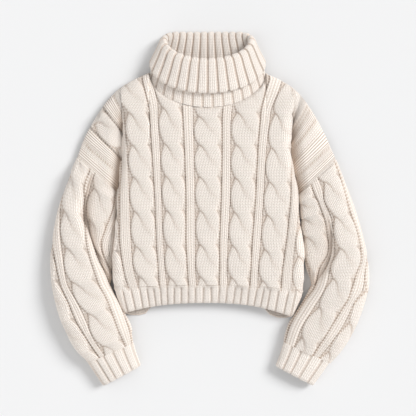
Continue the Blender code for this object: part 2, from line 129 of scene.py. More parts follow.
WELT_CROWN = {"top": 33.0, "foot": 22.0}
WELT_BOW = 2.4
UNDERARM_DOWN = 0.2747
UNDERARM_LEFT = (-193.2, 32.6)
UNDERARM_RIGHT = (185.4, 27.9)

# Where the welt's back lies below its front at both corners, as its lower edge: x, y.
WELT_BACK = (
    (-181.0, -220.0),
    (-168.0, -223.0),
    (-150.0, -223.5),
    (-136.0, -220.0),
    (-127.0, -208.0),
    (-112.0, -198.0),
    (0.0, -190.0),
    (100.0, -198.0),
    (115.0, -209.0),
    (126.0, -222.0),
    (143.0, -228.5),
    (160.0, -229.5),
    (172.0, -227.0),
)

SLEEVE_COLUMNS = ("outer_x", "outer_y", "inner_x", "inner_y", "crown", "inner", "fold", "depth")
SLEEVE_LEFT = (
    (-279.3, 108.2, -193.2, 32.6, 29.0, 29.0, 0.38, 0.05),
    (-294.0, 70.4, -197.0, 7.4, 35.0, 31.0, 0.37, 0.30),
    (-317.1, 5.3, -199.8, -28.4, 39.0, 28.0, 0.43, 0.50),
    (-329.7, -57.8, -202.0, -66.2, 41.0, 24.0, 0.61, 0.55),
    (-333.9, -116.6, -206.0, -112.4, 42.0, 18.0, 0.80, 0.50),
    (-327.6, -177.5, -209.0, -158.6, 42.0, 14.0, 0.97, 0.20),
    (-312.9, -230.0, -191.5, -198.5, 40.0, 40.0, 1.00, 0.00),
    (-289.8, -282.5, -169.0, -244.7, 37.0, 37.0, 1.00, 0.00),
    (-256.2, -323.4, -162.8, -282.5, 30.0, 30.0, 1.00, 0.00),
)
SLEEVE_RIGHT = (
    (264.6, 104.0, 185.4, 27.9, 29.0, 29.0, 0.50, 0.02),
    (283.5, 55.7, 189.5, 3.2, 35.0, 32.0, 0.50, 0.04),
    (304.5, -1.0, 192.4, -32.6, 39.0, 33.0, 0.50, 0.10),
    (321.3, -57.8, 197.0, -72.5, 41.0, 30.0, 0.51, 0.35),
    (331.8, -112.4, 201.5, -120.8, 42.0, 22.0, 0.63, 0.55),
    (330.8, -173.3, 213.0, -162.8, 42.0, 15.0, 0.95, 0.25),
    (312.9, -227.9, 195.8, -196.4, 40.0, 40.0, 1.00, 0.00),
    (287.7, -280.4, 168.0, -240.4, 37.0, 37.0, 1.00, 0.00),
    (252.0, -324.5, 155.4, -280.4, 30.0, 30.0, 1.00, 0.00),
)
CUFF_LEFT = (
    SLEEVE_LEFT[-1],
    (-240.0, -348.0, -155.5, -306.5, 27.0, 27.0, 1.00, 0.00),
    (-224.7, -371.0, -147.0, -329.0, 25.0, 25.0, 1.00, 0.00),
)
CUFF_RIGHT = (
    SLEEVE_RIGHT[-1],
    (235.0, -348.5, 147.5, -306.0, 27.0, 27.0, 1.00, 0.00),
    (218.4, -371.0, 138.6, -329.0, 25.0, 25.0, 1.00, 0.00),
)
SLEEVE_ROUND = 2.5
FOLD_ROLL = 16.0
FOLD_RISE = 26.0
FOLD_SHADE = 0.6
FOLD_SHADE_REACH = 14.0

COLLAR_COLUMNS = ("half", "side_y", "front_y", "back_y", "side_z", "front_z", "back_z")
COLLAR = (
    (117.4, 285.0, 211.6, 277.0, 12.0, 39.5, 2.0),
    (113.0, 295.0, 229.0, 296.0, 16.0, 39.5, 8.0),
    (101.5, 316.0, 264.0, 326.0, 20.0, 45.0, 8.0),
    (92.0, 341.0, 294.0, 353.0, 23.0, 50.0, 8.0),
    (89.5, 351.0, 303.5, 364.5, 25.0, 52.5, 7.2),
    (91.5, 354.0, 307.0, 368.0, 25.0, 55.5, 4.8),
    (95.5, 351.0, 303.0, 363.5, 24.0, 58.0, 2.4),
    (99.5, 342.0, 296.0, 354.0, 23.0, 58.0, 2.0),
    (108.0, 325.0, 272.0, 334.0, 22.0, 55.5, 2.0),
    (119.5, 304.0, 244.0, 311.0, 20.0, 51.0, 2.0),
)
COLLAR_BACK_ROUND = 26.0

# The gutters down the front: y, then the left and right gutter of each of the five cables.
FRONT_GUTTERS = (
    (270.0, -203.0, -142.0, -124.0, -60.0, -34.7, 27.3, 54.5, 124.0, 152.0, 214.0),
    (238.4, -195.3, -134.4, -113.4, -58.8, -34.7, 27.3, 50.4, 114.5, 140.7, 199.5),
    (206.9, -180.6, -127.1, -108.2, -57.8, -34.7, 26.3, 46.2, 107.1, 128.1, 180.6),
    (185.9, -178.5, -126.0, -108.2, -56.7, -34.7, 25.2, 44.1, 105.0, 125.0, 176.4),
    (122.9, -172.2, -121.8, -104.0, -53.6, -33.6, 25.2, 43.1, 99.8, 117.6, 171.2),
    (17.9, -168.0, -115.5, -100.8, -50.4, -31.5, 23.1, 42.0, 94.5, 111.3, 168.0),
    (-66.2, -164.9, -112.4, -97.7, -50.4, -30.5, 20.0, 37.8, 88.2, 106.1, 159.6),
    (-129.2, -159.6, -108.2, -93.5, -47.3, -30.5, 20.0, 35.7, 85.1, 100.8, 151.2),
    (-160.7, -151.2, -106.1, -90.3, -45.2, -28.4, 18.9, 36.8, 83.0, 99.8, 149.1),
    (-175.0, -149.0, -105.0, -89.5, -44.8, -28.2, 18.5, 36.5, 82.0, 99.0, 148.0),
)
# The cables that roll over the torso's sides: y, the right gutter of the one on the left and the
# left gutter of the one on the right.
SIDE_GUTTERS = (
    (238.0, -215.0, 220.0),
    (122.9, -185.9, 189.0),
    (17.9, -189.0, 186.9),
    (-41.0, -189.0, 181.4),
    (-66.2, -189.0, 178.5),
    (-129.2, -180.6, 172.2),
    (-175.0, -168.0, 171.2),
)
SIDE_CABLE_WIDTH = 54.0
# The heights at which each cable crosses, from the neck down; the side cables come last.
FRONT_CROSSINGS = (
    (268.0, 200.6, 133.4, 66.2, -5.3, -78.8, -141.8, -205.0),
    (279.0, 211.1, 135.5, 68.3, -3.2, -76.7, -143.9, -208.0),
    (259.0, 192.2, 133.4, 66.2, -3.2, -74.6, -141.8, -206.0),
    (268.0, 200.6, 133.4, 64.1, -7.4, -76.7, -143.9, -208.0),
    (266.0, 198.5, 127.1, 55.7, -13.7, -85.0, -150.2, -214.0),
    (268.0, 196.0, 122.0, 55.0, -14.0, -88.0, -160.0, -225.0),
    (242.0, 176.0, 108.0, 38.0, -31.0, -101.0, -169.0, -237.0),
)

# Sleeve gutters by station (shoulder to cuff), as shares across the sleeve from the picture's left.
LEFT_SLEEVE_GUTTERS = (
    # station, outer column, main cable's left and right, inner cable's left and right, next column
    (0.0, -0.16, -0.05, 0.33, 0.44, 0.93, 1.06),
    (1.0, -0.16, -0.03, 0.33, 0.44, 0.96, 1.08),
    (1.8, -0.14, 0.02, 0.42, 0.47, 0.91, 1.05),
    (2.5, -0.08, 0.09, 0.50, 0.56, 0.85, 0.99),
    (3.2, 0.00, 0.16, 0.57, 0.66, 0.80, 0.92),
    (3.9, 0.08, 0.22, 0.66, 0.78, 0.88, 0.98),
    (4.7, 0.145, 0.27, 0.78, 0.95, 1.05, 1.15),
    (5.4, 0.215, 0.36, 0.845, 1.02, 1.12, 1.2),
    (6.2, 0.23, 0.39, 0.835, 1.00, 1.1, 1.2),
    (7.0, 0.262, 0.37, 0.80, 0.97, 1.1, 1.2),
    (8.0, 0.262, 0.38, 0.84, 0.98, 1.1, 1.2),
)
LEFT_SLEEVE_CROSSINGS = {
    "outer": (-0.6, 0.6, 1.9, 3.2, 4.55, 6.1, 7.5, 8.9),
    "main": (-0.1, 1.0, 2.09, 3.38, 4.67, 6.08, 7.52, 8.9),
    "inner": (-0.4, 0.85, 2.2, 3.5, 4.8, 6.1, 7.4, 8.7),
}
RIGHT_SLEEVE_GUTTERS = (
    # station, inner cable's left and right, main cable's left and right, outer cable's left
    (0.0, -0.10, 0.32, 0.50, 0.95, 1.08),
    (0.6, -0.10, 0.33, 0.52, 0.95, 1.08),
    (1.3, -0.08, 0.37, 0.49, 0.915, 1.07),
    (2.0, -0.06, 0.41, 0.53, 0.89, 1.06),
    (2.6, -0.04, 0.41, 0.52, 0.905, 1.06),
    (3.2, -0.02, 0.40, 0.50, 0.91, 1.05),
    (3.6, 0.00, 0.36, 0.47, 0.90, 1.02),
    (4.0, 0.02, 0.25, 0.40, 0.863, 0.97),
    (4.43, 0.02, 0.155, 0.325, 0.773, 0.923),
    (4.98, 0.00, 0.065, 0.235, 0.695, 0.89),
    (5.41, -0.05, 0.025, 0.215, 0.676, 0.815),
    (6.0, -0.10, 0.01, 0.205, 0.645, 0.80),
    (6.54, -0.10, 0.015, 0.20, 0.623, 0.79),
    (7.2, -0.10, 0.02, 0.205, 0.618, 0.765),
    (8.0, -0.10, 0.02, 0.22, 0.618, 0.75),
)
RIGHT_SLEEVE_CROSSINGS = {
    "inner": (-0.4, 0.83, 1.75, 2.68, 4.10, 5.4, 6.7, 8.0),
    "main": (-0.7, 0.51, 2.06, 3.36, 4.55, 6.0, 7.41, 8.8),
    "outer": (-0.7, 0.8, 2.2, 3.6, 4.98, 6.29, 7.6, 8.9),
}

# The shape of a rope cable over one crossing. Each strand comes out from under its neighbour on the
# left, swings out to the gutter, crosses over to the right and dives under again.
# share of the crossing, the strand's left edge, the line between the two strands
ROPE = (
    (0.00, 0.165, 0.165),
    (0.06, 0.135, 0.25),
    (0.12, 0.105, 0.34),
    (0.25, 0.045, 0.50),
    (0.40, 0.010, 0.62),
    (0.50, 0.000, 0.68),
    (0.65, 0.012, 0.75),
    (0.80, 0.050, 0.80),
    (0.92, 0.110, 0.83),
    (1.00, 0.165, 0.835),
)
ROPE_LOW = 2.6
ROPE_HIGH = 7.2
ROPE_HIDDEN = 0.17
ROPE_MERGED = 0.13
ROPE_ROUND = 2.2

COLUMN_HEIGHT = 2.4
SIDE_COLUMN_HEIGHT = 2.6
# Grooves: depth, width and how much shade is painted into them. The purl gutter, its other side,
# the line along a strand's edge, and the gutters over the caps.
GUTTER = (1.7, 1.8, 1.0)
GUTTER_SIDE = (0.8, 1.6, 0.8)
STRAND_EDGE = (1.5, 1.6, 0.8)
CAP_GUTTER = (0.8, 2.3, 0.8)
CREASE_WIDTH = 1.6
CREASE_SHADE = 0.85
NOTCH_SHADE = 0.35
# Relief lower than this stays as a hollow where the cloth is pressed on the ground.
PRESSED_LEVEL = 5.0
# How far from a seam the relief takes to rise.
SEAM_FADE = 5.0
RIB_HEIGHT = 3.2
RIB_SHARE = 0.74
# How much shade is painted into the ribs' grooves, and how far apart the cuffs' stations lie.
RIB_SHADE = 0.25
COLLAR_SHADE = 0.45
CUFF_ROW_SPACING = 24.0

# The welt's rib grooves along its top and along its lower edge.
WELT_GROOVES_TOP = (
    -214.0, -200.6, -184.2, -166.3, -147.8, -132.3, -118.7, -104.2, -89.7, -74.3, -59.9, -45.2, -30.7,
    -13.0, 2.1, 20.2, 36.3, 54.2, 67.2, 81.9, 99.3, 113.8, 126.8, 144.5, 165.5, 180.2, 196.0, 212.0,
)
WELT_GROOVES_FOOT = (
    -200.0, -186.9, -172.8, -156.7, -140.7, -126.8, -113.4, -101.9, -88.8, -75.6, -60.3, -45.2, -30.7,
    -14.7, 3.2, 17.9, 33.2, 48.3, 63.0, 78.3, 92.0, 105.8, 119.7, 137.3, 155.0, 168.8, 182.0, 196.0,
)
LEFT_CUFF_GROOVES = (-0.16, 0.035, 0.19, 0.35, 0.56, 0.78, 0.96, 1.15)
RIGHT_CUFF_GROOVES = (-0.17, 0.0, 0.18, 0.375, 0.595, 0.83, 1.0, 1.17)

# How far each rib reaches past the grooves beside it at the fall's edge.
FALL_SCALLOP = 2.4
COLLAR_RIBS_FRONT = 14
COLLAR_RIBS_BACK = 14
COLUMNS_PER_RIB = 17


# ---------------------------------------------------------------- curves


def clamp(value):
    """Keep values between 0 and 1."""
    return np.clip(value, 0.0, 1.0)


def ease(value):
    """Rise smoothly from 0 to 1."""
    value = clamp(value)
    return value * value * (3.0 - 2.0 * value)


def mix(start, end, share):
    """Return what lies a share of the way from start to end."""
    return start + (end - start) * share


def roll(distance, radius):
    """Return the rise of a rounded edge, from 0 at the edge to 1 past its radius."""
    inside = 1.0 - clamp(distance / radius)
    return np.sqrt(1.0 - inside * inside)


def bell(distance, width):
    """Return a soft bump that is 1 at distance 0."""
    return np.exp(-((distance / width) ** 2.0))


def curve(keys, values, at):
    """Return a smooth curve through the values at the keys."""
    keys = np.asarray(keys, float)
    values = np.asarray(values, float)
    order = np.argsort(keys)
    keys = keys[order]
    values = values[order]
    slopes = np.empty(len(keys))
    slopes[1:-1] = (values[2:] - values[:-2]) / (keys[2:] - keys[:-2])
    slopes[0] = (values[1] - values[0]) / (keys[1] - keys[0])
    slopes[-1] = (values[-1] - values[-2]) / (keys[-1] - keys[-2])
    at = np.clip(at, keys[0], keys[-1])
    low = np.clip(np.searchsorted(keys, at, side="right") - 1, 0, len(keys) - 2)
    span = keys[low + 1] - keys[low]
    share = (at - keys[low]) / span
    square = share * share
    cube = square * share
    return (
        (2.0 * cube - 3.0 * square + 1.0) * values[low]
        + (cube - 2.0 * square + share) * span * slopes[low]
        + (3.0 * square - 2.0 * cube) * values[low + 1]
        + (cube - square) * span * slopes[low + 1]
    )


def column_of(rows, column, at, key=0):
    """Read one column of a table as a smooth curve of its key column."""
    return curve([row[key] for row in rows], [row[column] for row in rows], at)


def station(rows, names, at):
    """Read every column of a table at stations counted in rows."""
    keys = range(len(rows))
    return {name: curve(keys, [row[place] for row in rows], at) for place, name in enumerate(names)}


def distance_along(points):
    """Return how far along a line each of its points lies."""
    return np.cumsum(np.linalg.norm(np.diff(points, axis=0, prepend=points[:1]), axis=1))


def above_floor(points):
    """Return points lifted onto the floor where they lie below it."""
    return np.maximum(points, (-np.inf, -np.inf, 0.0))


# ---------------------------------------------------------------- the knitting


class Knit:
    """The knitting over a grid: its height, its stitch coordinates, the shade painted on it and its lined
    bands.
    """

    def __init__(self, shape):
        """Start with plain flat cloth."""
        self.height = np.zeros(shape)
        self.across = np.zeros(shape)
        self.across_other = np.zeros(shape)
        self.other = np.zeros(shape, bool)
        self.along = np.zeros(shape)
        self.painted_shade = np.zeros(shape)
        self.lines = np.zeros(shape)
        self.grooves = []

    def put(self, where, height, across, painted_shade=0.0, lines=0.0):
        """Set the knitting where a mask says."""
        self.height = np.where(where, height, self.height)
        self.across = np.where(where, across, self.across)
        self.across_other = np.where(where, across, self.across_other)
        self.other = np.where(where, False, self.other)
        self.painted_shade = np.where(where, painted_shade, self.painted_shade)
        self.lines = np.where(where, lines, self.lines)

    def sink_grooves(self):
        """Sink the purl gutters, each with a pit at every row along its line, and paint shade into them.
        """
        for groove in self.grooves:
            self.sink(*groove)

    def sink(self, distance, depth, width, dark):
        """Sink one narrow gutter and paint shade into it, darkest at its pits."""
        pits = 0.5 + 0.5 * np.cos(2.0 * np.pi * self.along)
        line = bell(distance, width * (0.5 + 0.85 * pits))
        self.height = self.height - depth * line * (0.35 + 0.65 * pits)
        self.painted_shade = np.maximum(self.painted_shade, dark * line * (0.15 + 0.85 * pits))


def rope_edges(share):
    """Return a strand's left edge and the line between the strands over one crossing."""
    keys = [row[0] for row in ROPE]
    left = np.interp(share, keys, [row[1] for row in ROPE])
    line = np.interp(share, keys, [row[2] for row in ROPE])
    return left, line


def strand(across, left, right, high):
    """Return a strand's height and how far across it each point is, from -1 to 1."""
    middle = 0.5 * (left + right)
    half = np.maximum(0.5 * (right - left), 0.004)
    place = (across - middle) / half
    dome = np.maximum(1.0 - np.abs(place) ** ROPE_ROUND, 0.0) ** (1.0 / ROPE_ROUND)
    return high * dome, place * half


def soft_maximum(first, second, softness):
    """Return the larger of two heights, rounded off where they are close."""
    near = np.maximum(softness - np.abs(first - second), 0.0) / softness
    return np.maximum(first, second) + near * near * softness * 0.25


def paint_cable(knit, position, left, right, turns, size):
    """Raise one rope cable between two gutters; size is the width in millimetres at each point."""
    width = right - left
    across = (position - left) / width
    share = turns - np.floor(turns)
    left_edge, line = rope_edges(share)
    right_edge = 1.0 - rope_edges(1.0 - share)[0]
    rising = mix(ROPE_LOW, ROPE_HIGH, ease(share))
    falling = mix(ROPE_LOW, ROPE_HIGH, ease(1.0 - share))
    merged = ROPE_MERGED * ease(share / 0.42) * ease((1.0 - share) / 0.30)
    under_left = ROPE_HIDDEN * (1.0 - share) ** 1.5 + merged
    under_right = ROPE_HIDDEN * share ** 1.5 + merged
    first, first_place = strand(across, left_edge, line + under_left, rising)
    second, second_place = strand(across, line - under_right, right_edge, falling)
    where = (across >= 0.0) & (across <= 1.0)
    odd = np.floor(turns) % 2.0 > 0.5
    over = (second > first) != odd
    height = soft_maximum(first, second, mix(0.25, 5.5, ease((share - 0.12) / 0.40)))
    stitches = size * width / STITCH_WIDTH
    crease = bell(first - second, CREASE_WIDTH) * (height > 0.4) * np.exp(-np.minimum(share, 1.0) / 0.28)
    notch = np.clip(1.0 - height / 2.6, 0.0, 1.0)
    knit.put(where, height, 0.0)
    own = np.where(odd, second_place, first_place)
    others = np.where(odd, first_place, second_place)
    knit.across = np.where(where, own * stitches, knit.across)
    knit.across_other = np.where(where, others * stitches, knit.across_other)
    knit.other = np.where(where, over, knit.other)
    knit.painted_shade = np.where(where, np.maximum(CREASE_SHADE * crease, NOTCH_SHADE * notch), knit.painted_shade)
    knit.grooves.append(((across - left_edge) * size * width, *STRAND_EDGE))
    knit.grooves.append(((position - left) * size, *GUTTER_SIDE))
    knit.grooves.append(((position - right) * size, *GUTTER))


def paint_columns(knit, position, left, right, size, wales, height=COLUMN_HEIGHT):
    """Raise plain knitted columns side by side between two gutters."""
    width = right - left
    across = (position - left) / width
    where = (across >= 0.0) & (across <= 1.0)
    inside = np.minimum(across, 1.0 - across) * width * size
    body = roll(inside, 4.5)
    between = np.abs(np.sin(np.pi * across * wales)) ** 0.5
    # Painted shade: a little over the whole column, more between its wales.
    painted_shade = 0.06 + 0.13 * (1.0 - between)
    knit.put(where, height * body * (0.88 + 0.12 * between), across * wales, painted_shade)


def rib_pattern(phase):
    """Return the rise (0 to 1) of a rib and the shade painted into its grooves, at a phase counted in
    ribs.
    """
    share = phase - np.floor(phase)
    edge = np.minimum(share, 1.0 - share)
    groove = 0.5 * (1.0 - RIB_SHARE)
    rise = roll(edge - 0.55 * groove, 0.20)
    painted_shade = 1.0 - ease((edge - 0.4 * groove) / (0.9 * groove))
    return rise, painted_shade


def pressed_flat(height, share, deepest):
    """Return the relief of cloth pressed on the ground: shallow hollows and nothing raised."""
    return np.clip(share * (height - PRESSED_LEVEL), -deepest, 0.0)


def rib_stitches(phase):
    """Return the stitch coordinate across ribs at a phase counted in ribs."""
    share = phase - np.floor(phase)
    return 2.0 * (share - 0.5) / RIB_SHARE + 2.0 * np.floor(phase)


def turns_at(crossings, y):
    """Return how many crossings lie above each height, counted smoothly."""
    keys = np.asarray(crossings)
    return np.interp(-y, -keys, np.arange(len(keys)))


# ---------------------------------------------------------------- the torso's panels


def neck_share(x):
    """Return how far x is from the middle of the neck hole, 1 at its sides."""
    return np.abs(x - NECK_MIDDLE) / NECK_HALF


def top_line(x, neck_y):
    """Return the y of a panel's top edge: a shoulder, or the neck between the shoulders."""
    bow = np.sqrt(np.maximum(0.0, 1.0 - neck_share(x) ** 2.0))
    neck = mix(NECK_SIDE_Y, neck_y, bow)
    left = column_of(SHOULDER_LEFT, 1, x)
    right = column_of(SHOULDER_RIGHT, 1, x)
    return np.where(x < NECK_MIDDLE - NECK_HALF, left, np.where(x > NECK_MIDDLE + NECK_HALF, right, neck))


def bowed(line, share):
    """Return the y of a welt line at a share across."""
    offset = 2.0 * share - 1.0
    end = np.where(offset < 0.0, line["left"], line["right"])
    return mix(line["middle"], end, np.abs(offset) ** WELT_BOW)


def side_edge(down, shoulder, underarm, end, column):
    """Return the x of one side of a panel at a share of the way down it."""
    y = mix(shoulder[1], end, down)
    share = (shoulder[1] - y) / (shoulder[1] - underarm[1])
    armhole = mix(shoulder[0], underarm[0], share)
    return np.where(y > underarm[1], armhole, column_of(TORSO, column, y))


def panel_lines(down):
    """Return the eight x lines that a panel's columns follow at a share of the way down."""
    left = side_edge(down, SHOULDER_LEFT[0], UNDERARM_LEFT, WELT_TOP["left"], 1)
    right = side_edge(down, SHOULDER_RIGHT[-1], UNDERARM_RIGHT, WELT_TOP["right"], 2)
    y = mix(230.0, -165.0, down)
    inset = SIDE_ROLL * 0.75 * ease((UNDERARM_LEFT[1] + 20.0 - mix(108.0, -167.0, down)) / 60.0)
    foot_left = np.maximum(column_of(TORSO, 1, y), left) + inset
    foot_right = np.minimum(column_of(TORSO, 2, y), right) - inset
    narrowing = mix(1.0, 0.96, down)
    neck_left = NECK_MIDDLE - NECK_HALF * narrowing
    neck_right = NECK_MIDDLE + NECK_HALF * narrowing
    return np.stack(
        (
            left,
            foot_left,
            foot_left + SIDE_ROLL,
            neck_left,
            neck_right,
            foot_right - SIDE_ROLL,
            foot_right,
            right,
        )
    )


def panel_plan(spans, rows, neck_y):
    """Return a panel's plan points and the top x of each column, row by row."""
    span = np.repeat(np.arange(len(spans)), spans)
    share = np.concatenate([np.arange(count) / count for count in spans])
    span = np.append(span, len(spans) - 1)
    share = np.append(share, 1.0)
    downs = np.linspace(0.0, 1.0, rows + 1)
    downs[np.argmin(np.abs(downs - UNDERARM_DOWN))] = UNDERARM_DOWN
    lines = panel_lines(downs)
    x = mix(lines[span], lines[span + 1], share[:, None]).T
    top_x = np.broadcast_to(x[0], x.shape)
    across = (x - lines[0][:, None]) / (lines[7] - lines[0])[:, None]
    y = mix(top_line(top_x, neck_y), bowed(WELT_TOP, across), downs[:, None])
    return x, y, top_x


def shoulder_distance(y, top_x):
    """Return how far a plan point lies inside the shoulder edge above it."""
    step = 1.0
    rise = top_line(top_x + step, NECK_FRONT_Y) - top_line(top_x - step, NECK_FRONT_Y)
    slope = np.where(neck_share(top_x) < 1.0, 0.0, rise / (2.0 * step))
    return np.maximum(0.0, top_line(top_x, NECK_FRONT_Y) - y) / np.sqrt(1.0 + slope * slope)


def torso_inside(x, y):
    """Return how far a plan point lies inside the torso's sides, less than 0 over the caps."""
    return np.minimum(x - column_of(TORSO, 1, y), column_of(TORSO, 2, y) - x)


# The valleys between the torso and the caps close from this y upwards, over this distance.
VALLEY_TOP = 165.0
VALLEY_CLOSING = 65.0


def valley_closed(y):
    """Return how far the valleys beside the torso have closed at a height."""
    return ease((y - VALLEY_TOP) / VALLEY_CLOSING)


# How closely the neck's edge keeps the front's height before it turns down at the shoulders.
NECK_SIDE_SHARPNESS = 5.0


def front_height(x, y, top_x):
    """Return the height of the front over a plan point."""
    left = column_of(TORSO, 1, y)
    right = column_of(TORSO, 2, y)
    crown = column_of(TORSO, 3, y)
    inside = torso_inside(x, y)
    across = clamp(2.0 * inside / (right - left))
    floor = mix(SEAM_HEIGHT, VALLEY_HEIGHT, ease((y - UNDERARM_LEFT[1] + 5.0) / 60.0))
    dome = crown * (1.0 - CROSS_FALL * (1.0 - across) ** 2.0)
    floor = mix(floor, 0.92 * crown, valley_closed(y))
    body = mix(floor, dome, roll(inside, SIDE_ROLL))
    cap = mix(floor, CAP_HEIGHT, ease(-inside / CAP_RISE))
    height = np.where(inside >= 0.0, body, cap)
    hidden = 1.0 - clamp(shoulder_distance(y, top_x) / SHOULDER_ROLL)
    hidden = hidden * np.minimum(1.0, neck_share(top_x)) ** NECK_SIDE_SHARPNESS
    return mix(SEAM_HEIGHT, height, np.sqrt(1.0 - hidden * hidden))


def back_height(x, y, top_x):
    """Return the height of the back's under face: flat, turned up to its side seams."""
    turn = np.where(neck_share(top_x) < 1.0, 1.0, roll(shoulder_distance(y, top_x), UNDER_ROLL))
    for column, underarm in ((1, UNDERARM_LEFT), (2, UNDERARM_RIGHT)):
        corner = 2.0 * np.hypot(x - underarm[0], y - underarm[1])
        beside = np.where(y < underarm[1], np.abs(x - column_of(TORSO, column, y)), corner)
        turn = np.minimum(turn, roll(beside, UNDER_ROLL))
    return (SEAM_HEIGHT - SEAM_GAP) * (1.0 - turn)


# The lines of knitting over the caps fan out: each starts on the shoulder's edge and ends in the
# valley beside the torso. x, y of each end, from the armhole seam to the torso's first cable.
CAP_LEFT = {
    "edge": SHOULDER_LEFT[:4] + ((-199.5, 248.0),),
    "valley": (UNDERARM_LEFT, (-187.0, 80.0), (-183.0, 125.0), (-181.0, 165.0), (-180.0, 203.0)),
}
CAP_RIGHT = {
    "edge": SHOULDER_RIGHT[:2:-1] + ((192.0, 240.0),),
    "valley": (UNDERARM_RIGHT, (176.0, 70.0), (170.0, 120.0), (170.0, 160.0), (176.0, 190.0)),
}
CAP_SPREAD = 165.0
# Over each cap, in millimetres from the armhole seam: bands of raised lines with how many lines
# each has, purl gutters, and a cable with the place of its first crossing.
CAP_LEFT_BANDS = ((1.0, 20.0, 4), (38.0, 60.0, 6), (118.0, 152.0, 6))
CAP_LEFT_GUTTERS = (33.0, 62.0, 114.0, 156.0)
CAP_LEFT_CABLE = (62.0, 114.0, 6.0)
CAP_RIGHT_BANDS = ((1.0, 20.0, 4), (38.0, 63.0, 6), (84.0, 102.0, 4), (120.0, 150.0, 6))
CAP_RIGHT_GUTTERS = (33.0, 80.0, 106.0, 116.0)
CABLE_PITCH = 68.0


def cap_place(x, y, cap):
    """Return how far each point lies from the armhole seam across the fan, and along its line."""
    steps = 25
    shares = np.linspace(0.0, 1.0, steps)
    keys = np.linspace(0.0, 1.0, len(cap["edge"]))
    edge = np.array([[np.interp(s, keys, [p[i] for p in cap["edge"]]) for i in (0, 1)] for s in shares])
    foot = np.array([[np.interp(s, keys, [p[i] for p in cap["valley"]]) for i in (0, 1)] for s in shares])
    way = foot - edge
    length = np.hypot(way[:, 0], way[:, 1])
    sign = np.sign(way[0, 0])
    side = [
        sign * ((x - e[0]) * w[1] - (y - e[1]) * w[0]) / size for e, w, size in zip(edge, way, length)
    ]
    place = np.zeros(x.shape)
    for index in range(steps - 1):
        here = side[index]
        following = side[index + 1]
        crossed = (here <= 0.0) & (following > 0.0)
        portion = here / np.where(crossed, here - following, 1.0)
        place = np.where(crossed, (index + portion) / (steps - 1), place)
    place = np.where(side[-1] <= 0.0, 1.0 - side[-1] / CAP_SPREAD, place)
    start = [np.interp(clamp(place), shares, edge[:, i]) for i in (0, 1)]
    return place * CAP_SPREAD, np.hypot(x - start[0], y - start[1])


def count_stitches(across, bands):
    """Count the stitches from the armhole seam: wide ones in the lined bands."""
    edges = [0.0]
    counts = [0.0]
    for start, end, legs in bands:
        plain = max(1.0, round(2.0 * (start - edges[-1]) / STITCH_WIDTH)) / 2.0
        edges += [start, end]
        counts += [counts[-1] + plain, counts[-1] + plain + 0.5 * legs]
    edges.append(edges[-1] + CAP_SPREAD)
    counts.append(counts[-1] + CAP_SPREAD / STITCH_WIDTH)
    return np.interp(across, edges, counts)


def paint_caps(knit, x, y, inside):
    """Knit the caps that hang over the armholes: lined bands, plain bands and one cable."""
    for cap, side, bands, gutters in (
        (CAP_LEFT, -1.0, CAP_LEFT_BANDS, CAP_LEFT_GUTTERS),
        (CAP_RIGHT, 1.0, CAP_RIGHT_BANDS, CAP_RIGHT_GUTTERS),
    ):
        across, along = cap_place(x, y, cap)
        where = (inside < 0.0) & (side * (x - NECK_MIDDLE) > 0.0)
        height = np.full(x.shape, 1.0)
        lines = np.zeros(x.shape)
        for start, end, _ in bands:
            band = np.minimum(across - start, end - across)
            height = height + 1.6 * ease(band / 3.0)
            lines = np.maximum(lines, ease(band / 1.5))
        patch = Knit(x.shape)
        patch.along = along / ROW_HEIGHT
        stitches = count_stitches(across, bands)
        # Painted shade in the valley beside the torso, fading where the valley closes.
        valley_shade = 0.8 * bell(inside, 14.0) * (1.0 - valley_closed(y))
        patch.put(where, height, stitches, valley_shade, lines)
        if side < 0.0:
            start, end, first = CAP_LEFT_CABLE
            turns = (along - first) / CABLE_PITCH + 3.0
            paint_cable(patch, across, start, end, turns, 1.0)
        for line in gutters:
            patch.grooves.append((across - line, *CAP_GUTTER))
        patch.sink_grooves()
        for field in ("height", "across", "across_other", "other", "along", "painted_shade", "lines"):
            setattr(knit, field, np.where(where, getattr(patch, field), getattr(knit, field)))


def torso_knitting(x, y):
    """Return the knitting of the torso over plan points: five cables, columns and side cables."""
    knit = Knit(x.shape)
    knit.along = -y / ROW_HEIGHT
    knit.put(np.ones(x.shape, bool), 0.4, x / STITCH_WIDTH)
    lines = [column_of(FRONT_GUTTERS, place, y) for place in range(1, 11)]
    side_left = column_of(SIDE_GUTTERS, 1, y)
    side_right = column_of(SIDE_GUTTERS, 2, y)
    for number in range(5):
        turns = turns_at(FRONT_CROSSINGS[number], y)
        paint_cable(knit, x, lines[2 * number], lines[2 * number + 1], turns, 1.0)
    for number in range(4):
        paint_columns(knit, x, lines[2 * number + 1], lines[2 * number + 2], 1.0, 2)
    paint_columns(knit, x, side_left, lines[0], 1.0, 3, SIDE_COLUMN_HEIGHT)
    paint_columns(knit, x, lines[9], side_right, 1.0, 3, SIDE_COLUMN_HEIGHT)
    paint_cable(knit, x, side_left - SIDE_CABLE_WIDTH, side_left, turns_at(FRONT_CROSSINGS[5], y), 1.0)
    paint_cable(knit, x, side_right, side_right + SIDE_CABLE_WIDTH, turns_at(FRONT_CROSSINGS[6], y), 1.0)
    corner = ease((np.abs(x - NECK_MIDDLE) - 150.0) / 20.0) * ease((-145.0 - y) / 22.0)
    knit.height = knit.height * (1.0 - 0.75 * corner)
    knit.sink_grooves()
    return knit


# ---------------------------------------------------------------- making meshes


def unit(vectors):
    """Return vectors at length 1."""
    return vectors / np.maximum(np.linalg.norm(vectors, axis=-1, keepdims=True), 1e-9)


def grid_normals(points, closed):
    """Return the normals of a grid of points, one for each point."""
    down = np.gradient(points, axis=0)
    if closed:
        across = np.roll(points, -1, axis=1) - np.roll(points, 1, axis=1)
    else:
        across = np.gradient(points, axis=1)
    return unit(np.cross(down, across))


